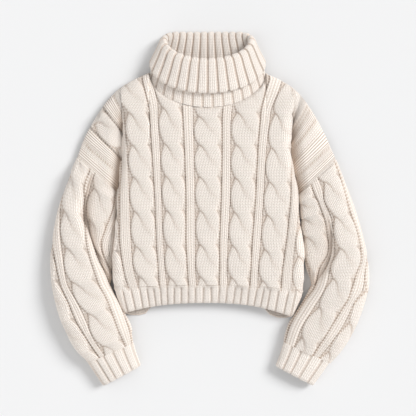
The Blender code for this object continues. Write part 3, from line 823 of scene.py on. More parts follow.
def grid_quads(rows, columns, closed, start=0):
    """Return the quads of a grid of numbered points."""
    row = np.arange(rows - 1)[:, None]
    column = np.arange(columns if closed else columns - 1)[None, :]
    following = (column + 1) % columns
    first = row * columns + column
    second = row * columns + following
    quads = np.stack((first, first + columns, second + columns, second), axis=-1)
    return quads.reshape(-1, 4) + start


def knitted_mesh(name, points, faces, uvs, shade, seams):
    """Make a mesh from points in millimetres, faces and one stitch coordinate a corner.

    shade holds the painted shade and how finely lined the cloth is at each point. seams numbers the
    points
    of each seam from 1: an edge between two points with the same number is kept crisp, so that two
    pieces meet there with no dark line.
    """
    mesh = bpy.data.meshes.new(name)
    points = above_floor(points)
    sizes = np.array([len(face) for face in faces], np.int32)
    corners = np.fromiter((number for face in faces for number in face), np.int32, int(sizes.sum()))
    starts = np.concatenate(([0], np.cumsum(sizes)[:-1])).astype(np.int32)
    mesh.vertices.add(len(points))
    mesh.vertices.foreach_set("co", ((points - OUTLINE_MIDDLE) * MM).astype(np.float32).ravel())
    mesh.loops.add(len(corners))
    mesh.loops.foreach_set("vertex_index", corners)
    mesh.polygons.add(len(faces))
    mesh.polygons.foreach_set("loop_start", starts)
    mesh.update(calc_edges=True)
    mesh.validate()
    layer = mesh.uv_layers.new(name="Stitch")
    layer.data.foreach_set("uv", uvs.astype(np.float32).ravel())
    for attribute_name, values in zip(("painted_shade", "lines"), shade):
        attribute = mesh.attributes.new(attribute_name, "FLOAT", "POINT")
        attribute.data.foreach_set("value", values.astype(np.float32))
    mesh.shade_smooth()
    ends = np.empty(2 * len(mesh.edges), np.int32)
    mesh.edges.foreach_get("vertices", ends)
    marks = seams[ends.reshape(-1, 2)]
    crisp = mesh.attributes.new("sharp_edge", "BOOLEAN", "EDGE")
    crisp.data.foreach_set("value", (marks[:, 0] > 0) & (marks[:, 0] == marks[:, 1]))
    piece = bpy.data.objects.new(name, mesh)
    bpy.context.scene.collection.objects.link(piece)
    return piece


def rim_faces(rows, columns, picked, closed):
    """Return the faces that join a grid to its lining along the grid's free edges."""
    base = rows * columns
    last = base - columns
    last_inside = base + (len(picked) - 1) * columns
    faces = []
    for place in range(columns if closed else columns - 1):
        after = (place + 1) % columns
        faces.append([base + after, base + place, place, after])
        faces.append([last_inside + place, last_inside + after, last + after, last + place])
    if closed:
        return faces
    for side in (0, columns - 1):
        for index in range(len(picked) - 1):
            run = [row * columns + side for row in range(picked[index], picked[index + 1] + 1)]
            ends = [base + (index + 1) * columns + side, base + index * columns + side]
            face = run + ends
            faces.append(face if side else face[::-1])
    return faces


def turned_over(faces, uvs):
    """Return faces turned over, with the stitch coordinates of their corners in the new order."""
    order = []
    start = 0
    for face in faces:
        order.extend(range(start + len(face) - 1, start - 1, -1))
        start += len(face)
    return [face[::-1] for face in faces], uvs[order]


def seam_marks(rows, columns, inside_rows, closed):
    """Number the free edges of a shell's grid and of its lining, for knitted_mesh."""
    outside = np.zeros((rows, columns), np.int32)
    if not closed:
        outside[:, 0] = 3
        outside[:, -1] = 4
    outside[0] = 1
    outside[-1] = 2
    inside = np.zeros((inside_rows, columns), np.int32)
    inside[0] = 5
    inside[-1] = 6
    return np.concatenate((outside.ravel(), inside.ravel()))


def shell(name, outer, inward, knit, closed, flip):
    """Make a closed knitted shell from an outer grid and a coarser copy of it inside.

    outer already has its relief. inward moves each of its points to the inside.
    """
    rows, columns = outer.shape[:2]
    picked = [row for row in range(rows) if row % LINING_STEP == 0 or row == rows - 1]
    quads = grid_quads(rows, columns, closed)
    lining = grid_quads(len(picked), columns, closed)[:, ::-1]
    rim = rim_faces(rows, columns, picked, closed)
    u = knit.across.ravel()
    v = knit.along.ravel()
    from_other = knit.other.ravel()[quads[:, :1]]
    outer_u = np.where(from_other, knit.across_other.ravel()[quads], u[quads])
    inner_u = np.tile(distance_along(outer[rows // 2]) / STITCH_WIDTH, len(picked))
    inner_v = knit.along[picked].ravel()
    all_u = np.concatenate((u, inner_u))
    all_v = np.concatenate((v, inner_v))
    uvs = np.concatenate((
        np.stack((outer_u, v[quads]), axis=-1).reshape(-1, 2),
        np.stack((inner_u[lining], inner_v[lining]), axis=-1).reshape(-1, 2),
        np.array([(all_u[face[0]], all_v[number]) for face in rim for number in face]),
    ))
    faces = quads.tolist() + (lining + rows * columns).tolist() + rim
    if flip:
        faces, uvs = turned_over(faces, uvs)
    points = np.concatenate((outer.reshape(-1, 3), (outer[picked] + inward[picked]).reshape(-1, 3)))
    plain = np.zeros(len(inner_u))
    shade = (
        np.concatenate((knit.painted_shade.ravel(), plain + LINING_SHADE)),
        np.concatenate((knit.lines.ravel(), plain)),
    )
    return knitted_mesh(name, points, faces, uvs, shade, seam_marks(rows, columns, len(picked), closed))


def raised(base, normals, knit, fade):
    """Return the base grid with its knitting raised along the normals."""
    return base + normals * (knit.height * fade)[..., None]


# ---------------------------------------------------------------- the pieces


def make_front():
    """Make the front: cables over the torso and fine ribs over both caps."""
    x, y, top_x = panel_plan(FRONT_SPANS, FRONT_ROWS, NECK_FRONT_Y)
    base = np.stack((x, y, front_height(x, y, top_x)), axis=-1)
    normals = grid_normals(base, False)
    normals *= np.sign(normals[..., 2:3].mean())
    inside = torso_inside(x, y)
    knit = torso_knitting(x, y)
    paint_caps(knit, x, y, inside)
    at_neck = neck_share(top_x) < 1.0
    from_side = np.minimum(x - x[:, :1], x[:, -1:] - x)
    from_top = np.where(at_neck, y[0] - y, shoulder_distance(y, top_x))
    low = np.where(at_neck, 0.35, 0.0)
    fade = ease(from_side / SEAM_FADE) * mix(low, 1.0, ease(from_top / 7.0))
    # Painted shade along the neck seam, dotted at every stitch; the rest of the painted shade fades out
    # at the top edge.
    neck_seam_shade = bell(from_top, 1.3) * (0.12 + 0.24 * np.cos(2.0 * np.pi * x / STITCH_WIDTH))
    knit.painted_shade = np.maximum(knit.painted_shade * ease(from_top / 3.0), np.where(at_neck, neck_seam_shade, 0.0))
    outer = raised(base, normals, knit, fade)
    lining = -normals * LINING
    lining[..., 2] = np.maximum(lining[..., 2], -LINING)
    inward = lining - normals * (knit.height * fade)[..., None]
    return shell("front_cloth", outer, inward, knit, False, False), outer[0][neck_share(top_x[0]) < 1.0]


def make_back():
    """Make the back: flat on the ground, its knitting pressed flat."""
    x, y, top_x = panel_plan(BACK_SPANS, BACK_ROWS, NECK_BACK_Y)
    base = np.stack((x, y, back_height(x, y, top_x)), axis=-1)
    normals = grid_normals(base, False)
    normals *= -np.sign(normals[..., 2:3].mean())
    knit = torso_knitting(x, y)
    knit.height = pressed_flat(knit.height, 0.42, 2.2)
    from_side = np.minimum(x - x[:, :1], x[:, -1:] - x)
    fade = ease(from_side / SEAM_FADE) * ease((y[0] - y) / SEAM_FADE)
    outer = raised(base, normals, knit, fade)
    lining = -normals * LINING - normals * (knit.height * fade)[..., None]
    return shell("back_cloth", outer, lining, knit, False, True)


def tube_normals(points, top):
    """Return a tube's normals facing outward; its first columns, top in number, face up."""
    normals = grid_normals(points, True)
    return normals * np.sign(normals[:, top // 4 : 3 * top // 4, 2:3].mean())


def under_height(edge):
    """Return the height of a tube's under face at a distance from its nearer edge."""
    return SEAM_HEIGHT * (1.0 - roll(edge, UNDER_ROLL))


def around_shares(top, under):
    """Return the shares across a flat tube: over its top, then back along its underside."""
    even = np.linspace(0.0, 1.0, top)
    over = mix(even, 0.5 - 0.5 * np.cos(np.pi * even), 0.45)
    even = np.linspace(0.0, 1.0, under + 2)[1:-1]
    below = 1.0 - mix(even, 0.5 - 0.5 * np.cos(np.pi * even), 0.45)
    return np.concatenate((over, below)), np.arange(top + under) < top


def sleeve_lobes(record, share, width):
    """Return the height of a sleeve's outer face: its main lobe and what is tucked under it."""
    dome = np.maximum(1.0 - np.abs(2.0 * share - 1.0) ** SLEEVE_ROUND, 0.0) ** (1.0 / SLEEVE_ROUND)
    past = (share - record["fold"]) * width
    low = record["crown"] * (1.0 - record["depth"])
    lobe = mix(low, record["crown"], roll(-past, FOLD_ROLL))
    tucked = mix(low, record["inner"], ease(past / FOLD_RISE))
    crown = np.where(past < 0.0, lobe, tucked)
    return mix(SEAM_HEIGHT, crown, dome)


def tube_base(rows, along, shares, on_top, armhole=None):
    """Return the base grid of a sleeve or a cuff, and its width at each station."""
    record = {name: value[:, None] for name, value in station(rows, SLEEVE_COLUMNS, along).items()}
    share = shares[None, :]
    x = mix(record["outer_x"], record["inner_x"], share)
    y = mix(record["outer_y"], record["inner_y"], share)
    width = np.hypot(record["outer_x"] - record["inner_x"], record["outer_y"] - record["inner_y"])
    top = sleeve_lobes(record, share, width)
    if armhole is not None:
        shoulder, underarm = armhole
        seam_x = mix(shoulder[0], underarm[0], shares)
        seam_y = mix(shoulder[1], underarm[1], shares)
        seam = front_height(seam_x, seam_y, np.full(shares.shape, shoulder[0]))
        top = mix(seam[None, :], top, ease(along)[:, None])
    below = under_height(np.minimum(share, 1.0 - share) * width)
    z = np.where(on_top[None, :], top, below)
    return np.stack((x, y, z), axis=-1), width


def sleeve_knitting(position, on_top, along, width, table, layout, crossings):
    """Return the knitting of a sleeve: its cables and columns between the gutters of its table."""
    knit = Knit(position.shape)
    stations = along[:, None] * np.ones(position.shape)
    knit.along = distance_along(layout["spine"])[:, None] / ROW_HEIGHT * np.ones(position.shape)
    knit.put(np.ones(position.shape, bool), 0.6, position * width / STITCH_WIDTH)
    lines = [column_of(table, place, stations) for place in range(1, len(table[0]))]
    for name, left, right in layout["cables"]:
        low = lines[left] if left is not None else lines[right] - 0.42
        high = lines[right] if right is not None else lines[left] + 0.42
        paint_cable(knit, position, low, high, np.interp(stations, crossings[name], np.arange(8)), width)
    for left, right in layout["columns"]:
        paint_columns(knit, position, lines[left], lines[right], width, 2)
    knit.sink_grooves()
    knit.painted_shade = np.maximum(knit.painted_shade, layout["fold_shade"])
    under = np.broadcast_to(~on_top, position.shape)
    knit.height = np.where(under, pressed_flat(knit.height, 0.4, 2.0), knit.height)
    return knit


def make_sleeve(name, rows, table, cables, columns, crossings, armhole, mirrored, flip):
    """Make one sleeve as a closed shell, from its armhole to its cuff."""
    shares, on_top = around_shares(*SLEEVE_AROUND)
    along = np.linspace(0.0, len(rows) - 1.0, SLEEVE_ROWS)
    base, width = tube_base(rows, along, shares, on_top, armhole)
    spine = 0.5 * (base[:, 0] + base[:, SLEEVE_AROUND[0] - 1])
    normals = tube_normals(base, SLEEVE_AROUND[0])
    position = (1.0 - shares if mirrored else shares)[None, :] * np.ones(base.shape[:2])
    record = station(rows, SLEEVE_COLUMNS, along)
    past = (shares[None, :] - record["fold"][:, None]) * width
    shade = np.where(past > 0.0, np.exp(-past / FOLD_SHADE_REACH), 0.0)
    shade = shade * ease(5.0 * record["depth"])[:, None]
    layout = {"cables": cables, "columns": columns, "spine": spine, "fold_shade": FOLD_SHADE * shade}
    knit = sleeve_knitting(position, on_top, along, width, table, layout, crossings)
    edge = np.minimum(shares, 1.0 - shares)[None, :] * width
    fade = ease(along / 0.12)[:, None] * mix(0.45, 1.0, ease(edge / 9.0))
    outer = above_floor(raised(base, normals, knit, fade))
    back = -normals * (LINING + knit.height * fade)[..., None]
    return shell(name, outer, back, knit, True, flip)


def curled_rim(points, normals, heights, outward, radius=2.0, steps=5):
    """Return the rows that carry a free edge round its rim to the inside."""
    middle = points - normals * radius
    rows = []
    for step in range(1, steps + 1):
        angle = math.pi * step / steps
        rise = radius * math.cos(angle) + 0.5 * heights * (1.0 + math.cos(angle))
        reach = (radius + 0.4 * heights) * math.sin(angle)
        rows.append(middle + normals * rise[:, None] + outward * reach[:, None])
    return np.stack(rows)


def add_rim(outer, base, normals, knit, fade):
    """Return the outer grid and its lining offsets with a curled rim added at the last row."""
    outward = unit(base[-1] - base[-2])
    heights = knit.height[-1] * fade[-1]
    rim = curled_rim(base[-1], normals[-1], heights, outward)
    count = len(rim)
    back = -normals * (LINING + knit.height * fade)[..., None]
    outer = np.concatenate((outer, rim))
    rim_back = np.zeros(rim.shape)
    rim_back[-1] = -outward * 1.0
    back = np.concatenate((back, rim_back))
    for field in ("height", "across", "across_other", "other", "painted_shade", "lines"):
        values = getattr(knit, field)
        setattr(knit, field, np.concatenate((values, np.repeat(values[-1:], count, axis=0))))
    along = knit.along[-1:] + np.arange(1, count + 1)[:, None] * 0.3
    knit.along = np.concatenate((knit.along, along))
    return outer, back


def ribbed_tube(name, base, normals, knit, fade, flip):
    """Raise the ribs of a tube, curl its free edge and close it as a shell."""
    outer = above_floor(raised(base, normals, knit, fade))
    outer, back = add_rim(outer, base, normals, knit, fade)
    return shell(name, outer, back, knit, True, flip)


def make_cuff(name, rows, grooves, mirrored, flip):
    """Make one ribbed cuff with a rounded free edge."""
    shares, on_top = around_shares(*CUFF_AROUND)
    along = np.linspace(0.0, len(rows) - 1.0, CUFF_ROWS)
    base, width = tube_base(rows, along, shares, on_top)
    normals = tube_normals(base, CUFF_AROUND[0])
    position = (1.0 - shares if mirrored else shares)[None, :] * np.ones(base.shape[:2])
    phase = np.interp(position, grooves, np.arange(len(grooves)))
    under = np.broadcast_to(~on_top, position.shape)
    rows_along = along[:, None] * CUFF_ROW_SPACING / ROW_HEIGHT * np.ones(position.shape)
    knit = rib_knitting(phase, rows_along, under, RIB_SHADE)
    taper = ease((2.06 - along) / 0.16)[:, None]
    edge = np.minimum(shares, 1.0 - shares)[None, :] * width
    fade = mix(0.35, 1.0, taper) * mix(0.6, 1.0, ease(edge / 6.0)) * np.ones(position.shape)
    return ribbed_tube(name, base, normals, knit, fade, flip)


def rib_knitting(phase, along, pressed, dark):
    """Return the knitting of ribs at a phase, pressed flat where a mask says."""
    knit = Knit(phase.shape)
    knit.along = along
    rise, painted_shade = rib_pattern(phase)
    height = RIB_HEIGHT * rise
    height = np.where(pressed, 0.5 * (height - RIB_HEIGHT), height)
    knit.put(np.ones(phase.shape, bool), height, rib_stitches(phase), dark * painted_shade)
    return knit


def make_welt():
    """Make the ribbed welt as one shell round the front and the back."""
    shares, on_top = around_shares(*WELT_AROUND)
    downs = np.linspace(0.0, 1.0, WELT_ROWS)
    down = downs[:, None]
    left = mix(WELT_CORNERS["top"][0], WELT_CORNERS["foot"][0], down)
    right = mix(WELT_CORNERS["top"][1], WELT_CORNERS["foot"][1], down)
    share = shares[None, :]
    x = mix(left, right, share)
    foot_x = mix(WELT_CORNERS["foot"][0], WELT_CORNERS["foot"][1], shares)
    back_foot = np.interp(foot_x, [p[0] for p in WELT_BACK], [p[1] for p in WELT_BACK])
    foot = np.where(on_top, bowed(WELT_FRONT, shares), back_foot)
    top_y = bowed(WELT_TOP, shares)[None, :]
    y = mix(top_y, foot[None, :], down)
    crown = mix(column_of(TORSO, 3, top_y), WELT_CROWN["foot"], down)
    inside = np.minimum(share, 1.0 - share)
    dome = crown * (1.0 - CROSS_FALL * (1.0 - 2.0 * inside) ** 2.0)
    over = mix(SEAM_HEIGHT, dome, roll(inside * (right - left), SIDE_ROLL))
    below = under_height(inside * (right - left))
    base = np.stack((x, y, np.where(on_top[None, :], over, below)), axis=-1)
    normals = tube_normals(base, WELT_AROUND[0])
    phase = np.empty(x.shape)
    for row, portion in enumerate(downs):
        grooves = mix(np.array(WELT_GROOVES_TOP), np.array(WELT_GROOVES_FOOT), portion)
        phase[row] = np.interp(x[row], grooves, np.arange(len(grooves)))
    under_mask = np.broadcast_to(~on_top, x.shape)
    knit = rib_knitting(phase, -y / ROW_HEIGHT, under_mask, RIB_SHADE)
    cloth = torso_knitting(x, y)
    start = ease(down / 0.22) * np.ones(x.shape)
    blend = np.where(on_top[None, :], start, 1.0)
    knit.height = mix(cloth.height, knit.height, blend)
    knit.painted_shade = mix(cloth.painted_shade, knit.painted_shade, blend)
    # Painted shade over the welt's underside, which shows at the back's corners.
    knit.painted_shade = np.where(under_mask, 0.30 + 0.5 * knit.painted_shade, knit.painted_shade)
    taper = ease((1.04 - down) / 0.12)
    fade = mix(0.3, 1.0, taper) * np.ones(x.shape)
    return ribbed_tube("welt_cloth", base, normals, knit, fade, True)


def collar_point(record, turn):
    """Return points of a collar ring: arched over the front, flat along the back."""
    lift = np.abs(np.sin(turn))
    front = np.sin(turn) >= 0.0
    inside = roll(record["half"] * (1.0 - np.abs(np.cos(turn))), COLLAR_BACK_ROUND)
    over_front = mix(record["side_y"], record["front_y"], lift)
    y = np.where(front, over_front, mix(record["side_y"], record["back_y"], inside))
    rise = np.where(front, lift ** 0.9, inside)
    z = mix(record["side_z"], np.where(front, record["front_z"], record["back_z"]), rise)
    return np.stack(np.broadcast_arrays(NECK_MIDDLE + record["half"] * np.cos(turn), y, z), axis=-1)


def collar_turns():
    """Return the turn of each column so that the ribs are evenly wide along the fold."""
    crest = {name: COLLAR[5][place] for place, name in enumerate(COLLAR_COLUMNS)}
    turns = []
    for start, ribs in ((0.0, COLLAR_RIBS_FRONT), (math.pi, COLLAR_RIBS_BACK)):
        fine = np.linspace(start, start + math.pi, 721)[:-1]
        points = collar_point(crest, fine)
        steps = np.linalg.norm(np.diff(points, axis=0), axis=1)
        length = np.concatenate(([0.0], np.cumsum(steps)))
        wanted = np.arange(ribs * COLUMNS_PER_RIB) / (ribs * COLUMNS_PER_RIB) * length[-1]
        turns.append(np.interp(wanted, length, fine))
    return np.concatenate(turns)


def collar_stations():
    """Return the stations up the inside of the collar, over its fold and down the fall."""
    return np.concatenate((
        np.linspace(0.0, 3.0, 50)[:-1],
        np.linspace(3.0, 7.0, 26)[:-1],
        np.linspace(7.0, 9.0, 44),
    ))


def make_collar(neck_edge):
    """Make the polo neck: ribs inside, over the fold and down the fall, with its own lining."""
    turns = collar_turns()
    along = collar_stations()
    record = {name: value[:, None] for name, value in station(COLLAR, COLLAR_COLUMNS, along).items()}
    middle = collar_point(record, turns[None, :])
    ribs = rib_pattern(np.arange(len(turns)) / COLUMNS_PER_RIB)[0]
    at_rim = ease((along - 8.4) / 0.6)[:, None]
    middle[..., 1] -= FALL_SCALLOP * at_rim * (ribs * np.maximum(np.sin(turns), 0.0))[None, :]
    normals = grid_normals(middle, True)
    crest = np.argmax(middle[:, len(turns) // 4, 2])
    normals *= np.sign(normals[crest : crest + 40, :, 2:3].mean())
    phase = np.arange(len(turns)) / COLUMNS_PER_RIB
    phase = phase[None, :] * np.ones((len(along), 1))
    down_front = distance_along(middle[:, len(turns) // 4])
    rows_along = down_front[:, None] / ROW_HEIGHT * np.ones(phase.shape)
    knit = rib_knitting(phase, rows_along, np.zeros(phase.shape, bool), COLLAR_SHADE)
    base = middle + normals * 2.0
    taper = ease((9.05 - along) / 0.16)[:, None]
    fade = mix(0.4, 1.0, taper) * np.ones(phase.shape)
    outer = above_floor(raised(base, normals, knit, fade))
    outer = meet_neck_edge(outer, along, turns, neck_edge)
    # Painted shade along the collar's first rows, where it joins the front's neck edge.
    knit.painted_shade = mix(knit.painted_shade, 0.25, (bell(along, 0.06) * 0.7)[:, None])
    outer = add_rim(outer, base, normals, knit, fade)[0]
    return collar_shell(outer, knit, middle, normals, rows_along, along)


# How far the collar's first row lies under the edge of the front: below it and inside it. Its
# ring takes this share of the neck's width, and it joins the edge over this part of a station.
NECK_TUCK = (0.0, 1.2, 0.9)
NECK_FIT = 0.998
NECK_JOIN = 0.35


def meet_neck_edge(outer, along, turns, neck_edge):
    """Bring the collar's first rows in front onto the edge of the front."""
    x = NECK_MIDDLE + NECK_HALF * NECK_FIT * np.cos(turns)
    ring = np.stack(
        (
            x,
            np.interp(x, neck_edge[:, 0], neck_edge[:, 1]),
            np.interp(x, neck_edge[:, 0], neck_edge[:, 2]),
        ),
        axis=-1,
    )
    ring = ring - np.array(NECK_TUCK)
    front = ease(1.0 + 12.0 * np.sin(turns))
    share = (1.0 - ease(along / NECK_JOIN))[:, None] * front[None, :]
    return mix(outer, ring[None], share[..., None])


def collar_shell(outer, knit, middle, normals, rows_along, along):
    """Close the collar with a ribbed lining, which shows as the neckband under the fall."""
    columns = outer.shape[1]
    picked = [row for row in range(len(along)) if along[row] < 1.4 or row % 5 == 0][::-1]
    phase = np.arange(columns) / COLUMNS_PER_RIB + 0.5
    rise, painted_shade = rib_pattern(phase)
    under = middle[picked] - normals[picked] * (1.6 + RIB_HEIGHT * rise * 0.8)[None, :, None]
    under[..., 2] = np.maximum(under[..., 2], 0.0)
    points = np.concatenate((outer, under))
    total = len(points)
    quads = grid_quads(total, columns, True)
    closing = grid_quads(2, columns, True)
    last = (total - 1) * columns
    closing = np.where(closing >= columns, closing - columns, closing + last)
    faces = np.concatenate((quads, closing))
    ring = phase[None, :] * np.ones((len(picked), 1))
    across = np.concatenate((knit.across, rib_stitches(ring)))
    along_all = np.concatenate((knit.along, rows_along[picked]))
    # The neckband's rib grooves get painted shade too.
    painted_shade_all = np.concatenate((knit.painted_shade, 0.35 * painted_shade[None, :] * np.ones(ring.shape)))
    u = across.ravel()[faces]
    v = along_all.ravel()[faces]
    uvs = np.stack((u, v), axis=-1).reshape(-1, 2)
    shade = (painted_shade_all.ravel(), np.full(painted_shade_all.size, 0.1))
    seams = np.zeros((total, columns), np.int32)
    seams[0] = 1
    seams[-1] = 2
    return knitted_mesh("collar_cloth", points.reshape(-1, 3), faces.tolist(), uvs, shade, seams.ravel())


# ---------------------------------------------------------------- materials


class Nodes:
    """A short way to lay out a material's nodes."""

    def __init__(self, material):
        """Take the material's tree."""
        self.tree = material.node_tree

    def add(self, kind, **settings):
        """Add a node with its settings."""
        node = self.tree.nodes.new(kind)
        for key, value in settings.items():
            setattr(node, key, value)
        return node

    def noise(self, place, scale, detail):
        """Add noise over a place and return its value."""
        node = self.add("ShaderNodeTexNoise")
        self.feed(node.inputs["Vector"], place)
        node.inputs["Scale"].default_value = scale
        node.inputs["Detail"].default_value = detail
        return node.outputs["Fac"]

    def feed(self, socket, value):
        """Link a socket, or set it to a constant."""
        if isinstance(value, (int, float, tuple)):
            socket.default_value = value
        else:
            self.tree.links.new(value, socket)

    def math(self, operation, first, second=0.0, third=0.0):
        """Add a sum and return its result."""
        node = self.add("ShaderNodeMath", operation=operation)
        for socket, value in zip(node.inputs, (first, second, third)):
            self.feed(socket, value)
        return node.outputs[0]

    def blend(self, factor, first, second, mode="MIX"):
        """Add a blend of two colours and return its result."""
        node = self.add("ShaderNodeMix", data_type="RGBA", blend_type=mode)
        self.feed(node.inputs["Factor"], factor)
        self.feed(node.inputs[6], first)
        self.feed(node.inputs[7], second)
        return node.outputs[2]


def stitch_height(nodes):
    """Return the height of the V-shaped stitches, from 0 between stitches to 1 on their legs."""
    uv = nodes.add("ShaderNodeUVMap", uv_map="Stitch")
    split = nodes.add("ShaderNodeSeparateXYZ")
    nodes.feed(split.inputs[0], uv.outputs[0])
    column = nodes.math("FRACT", split.outputs[0])
    aside = nodes.math("ABSOLUTE", nodes.math("SUBTRACT", column, 0.5))
    leg = nodes.math("MULTIPLY", nodes.math("SUBTRACT", aside, 0.25), 4.0)
    across = nodes.math("SUBTRACT", 1.0, nodes.math("POWER", nodes.math("ABSOLUTE", leg), 2.4))
    slant = nodes.math("MULTIPLY_ADD", aside, 1.3, split.outputs[1])
    row = nodes.math("MULTIPLY_ADD", nodes.math("FRACT", slant), 2.0, -1.0)
    along = nodes.math("SUBTRACT", 1.0, nodes.math("POWER", nodes.math("ABSOLUTE", row), 2.0))
    lines = nodes.add("ShaderNodeAttribute", attribute_name="lines").outputs["Fac"]
    along = nodes.math("MAXIMUM", along, lines)
    return nodes.math("MULTIPLY", across, nodes.math("MULTIPLY_ADD", along, 0.72, 0.28))


# The wool's own colour on the stitches' legs, the painted shade between the stitches, and the painted
# shade in gutters, creases, folds and between raised lines.
WOOL_LIGHT = (0.980, 0.916, 0.856, 1.0)
WOOL_GAP_SHADE = (0.730, 0.625, 0.530, 1.0)
WOOL_PAINTED_SHADE = (0.42, 0.255, 0.145, 1.0)
PAINTED_SHADE_STRENGTH = 0.86
LINE_SHADE_STRENGTH = 0.45
FIBRE_SCALE = 900.0
CLOUD_SCALE = 26.0
WOOL_FINISH = {
    "Roughness": 0.92,
    "Specular IOR Level": 0.2,
    "Sheen Weight": 0.12,
    "Sheen Roughness": 0.6,
}


def wool(name, bump, gap_shade_share):
    """Make matt cream wool with stitches and fibres, with shade painted between the stitches, between
    raised lines and wherever the painted-shade attribute says.
    """
    material = bpy.data.materials.new(name)
    material.use_nodes = True
    nodes = Nodes(material)
    shader = material.node_tree.nodes["Principled BSDF"]
    stitches = stitch_height(nodes)
    place = nodes.add("ShaderNodeTexCoord").outputs["Object"]
    fibre = nodes.noise(place, FIBRE_SCALE, 3.0)
    cloud = nodes.noise(place, CLOUD_SCALE, 2.0)
    painted_shade = nodes.add("ShaderNodeAttribute", attribute_name="painted_shade").outputs["Fac"]
    lined = nodes.add("ShaderNodeAttribute", attribute_name="lines").outputs["Fac"]
    # Painted shade between the stitches, deeper in lined bands.
    gap_shade_depth = nodes.math("MULTIPLY_ADD", lined, 0.35, gap_shade_share)
    gap_shade = nodes.math("MULTIPLY", nodes.math("SUBTRACT", 1.0, stitches), gap_shade_depth)
    colour = nodes.blend(gap_shade, WOOL_LIGHT, WOOL_GAP_SHADE)
    # Painted shade between the raised lines, then painted shade wherever the painted-shade attribute
    # says.
    between = nodes.math("MULTIPLY", nodes.math("SUBTRACT", 1.0, stitches), lined)
    colour = nodes.blend(nodes.math("MULTIPLY", between, LINE_SHADE_STRENGTH), colour, WOOL_PAINTED_SHADE)
    colour = nodes.blend(nodes.math("MULTIPLY", painted_shade, PAINTED_SHADE_STRENGTH), colour, WOOL_PAINTED_SHADE)
    speckle = nodes.math("MULTIPLY_ADD", fibre, 0.30, 0.85)
    speckle = nodes.math("MULTIPLY", speckle, nodes.math("MULTIPLY_ADD", cloud, 0.10, 0.95))
    grey = nodes.add("ShaderNodeCombineColor")
    for socket in grey.inputs[:3]:
        nodes.feed(socket, speckle)
    colour = nodes.blend(1.0, colour, grey.outputs[0], "MULTIPLY")
    nodes.feed(shader.inputs["Base Color"], colour)
    for setting, value in WOOL_FINISH.items():
        shader.inputs[setting].default_value = value
    relief = nodes.math("MULTIPLY_ADD", fibre, 0.35, stitches)
    bumped = nodes.add("ShaderNodeBump")
    bumped.inputs["Strength"].default_value = 1.0
    bumped.inputs["Distance"].default_value = bump
    nodes.feed(bumped.inputs["Height"], relief)
    nodes.feed(shader.inputs["Normal"], bumped.outputs[0])
    return material


# ---------------------------------------------------------------- floor, light and camera


FLOOR_REACH = 6.0
FLOOR_COLOUR = (0.770, 0.772, 0.776, 1.0)


def make_stage():
    """Lay the pale floor."""
    mesh = bpy.data.meshes.new("pale_floor")
    reach = FLOOR_REACH
    corners = [(-reach, -reach, 0.0), (reach, -reach, 0.0), (reach, reach, 0.0), (-reach, reach, 0.0)]
    mesh.from_pydata(corners, [], [(0, 1, 2, 3)])
    floor = bpy.data.objects.new("pale_floor", mesh)
    bpy.context.scene.collection.objects.link(floor)
    material = bpy.data.materials.new("pale_paper")
    material.use_nodes = True
    shader = material.node_tree.nodes["Principled BSDF"]
    shader.inputs["Base Color"].default_value = FLOOR_COLOUR
    shader.inputs["Roughness"].default_value = 0.95
    shader.inputs["Specular IOR Level"].default_value = 0.0
    mesh.materials.append(material)


# Each lamp: its azimuth, elevation, softness (degrees) and strength.
KEY_LAMP = (27.0, 36.5, 25.0, 2.56)
REFLECTOR_LAMP = (222.0, 34.0, 70.0, 0.98)
SKY_STRENGTH = 0.52


def add_lamp(name, azimuth, elevation, softness, strength):
    """Add a distant lamp."""
    lamp = bpy.data.lights.new(name, "SUN")
    lamp.angle = math.radians(softness)
    lamp.energy = strength
    holder = bpy.data.objects.new(name, lamp)
    around = math.radians(azimuth)
    up = math.radians(elevation)
    toward = Vector((
        math.cos(around) * math.cos(up),
        math.sin(around) * math.cos(up),
        math.sin(up),
    ))
    holder.location = toward * 2.0
    holder.rotation_euler = toward.to_track_quat("Z", "Y").to_euler()
    bpy.context.scene.collection.objects.link(holder)


def make_lights():
    """Light the jumper softly from the upper right, with a reflector opposite and an even sky."""
    add_lamp("key", *KEY_LAMP)
    add_lamp("reflector", *REFLECTOR_LAMP)
    world = bpy.data.worlds.new("sky")
    bpy.context.scene.world = world
    world.use_nodes = True
    background = world.node_tree.nodes["Background"]
    background.inputs["Color"].default_value = (1.0, 1.0, 1.0, 1.0)
    background.inputs["Strength"].default_value = SKY_STRENGTH


VIEW_WIDTH = 0.8736
VIEW_CENTRE = (-0.0038, 0.0032)
CAMERA_HEIGHT = 3.0
FOCUS_HEIGHT = 0.020
SENSOR = 36.0


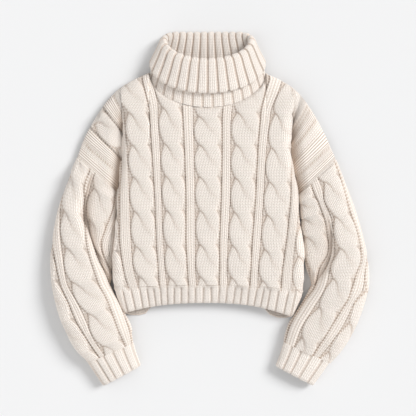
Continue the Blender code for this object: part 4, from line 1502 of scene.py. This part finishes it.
def make_camera():
    """Look straight down on the jumper."""
    lens = bpy.data.cameras.new("camera")
    lens.sensor_width = SENSOR
    lens.lens = SENSOR * (CAMERA_HEIGHT - FOCUS_HEIGHT) / VIEW_WIDTH
    lens.clip_end = 30.0
    camera = bpy.data.objects.new("camera", lens)
    camera.location = (VIEW_CENTRE[0], VIEW_CENTRE[1], CAMERA_HEIGHT)
    bpy.context.scene.collection.objects.link(camera)
    bpy.context.scene.camera = camera


# ---------------------------------------------------------------- putting it together


def declare(piece, node, material):
    """Give a piece its material, hang it on the root body and hide the solid that it stands for."""
    piece.data.materials.append(material)
    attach(piece, "root")
    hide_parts(node)


def main():
    """Build the whole scene round the frame."""
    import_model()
    cable = wool("cable_knit_wool", 0.0015, 0.68)
    plain = wool("plain_knit_wool", 0.0013, 0.60)
    rib = wool("rib_knit_wool", 0.0013, 0.60)
    make_camera()
    make_lights()
    make_stage()
    front, neck_edge = make_front()
    back = make_back()
    welt = make_welt()
    sleeve_left = make_sleeve(
        "sleeve_left_cloth", SLEEVE_LEFT, LEFT_SLEEVE_GUTTERS,
        (("outer", None, 0), ("main", 1, 2), ("inner", 3, 4)), ((0, 1), (2, 3), (4, 5)),
        LEFT_SLEEVE_CROSSINGS, (SHOULDER_LEFT[0], UNDERARM_LEFT), False, True,
    )
    sleeve_right = make_sleeve(
        "sleeve_right_cloth", SLEEVE_RIGHT, RIGHT_SLEEVE_GUTTERS,
        (("inner", 0, 1), ("main", 2, 3), ("outer", 4, None)), ((1, 2), (3, 4)),
        RIGHT_SLEEVE_CROSSINGS, (SHOULDER_RIGHT[-1], UNDERARM_RIGHT), True, False,
    )
    cuff_left = make_cuff("cuff_left_cloth", CUFF_LEFT, LEFT_CUFF_GROOVES, False, True)
    cuff_right = make_cuff("cuff_right_cloth", CUFF_RIGHT, RIGHT_CUFF_GROOVES, True, False)
    collar = make_collar(neck_edge)
    declare(front, "front", cable)
    declare(back, "back", plain)
    declare(welt, "hem_rib", rib)
    declare(sleeve_left, "sleeve_left", cable)
    declare(sleeve_right, "sleeve_right", cable)
    declare(cuff_left, "cuff_left", rib)
    declare(cuff_right, "cuff_right", rib)
    declare(collar, "collar", rib)
    bpy.context.scene.view_settings.view_transform = "Standard"


main()
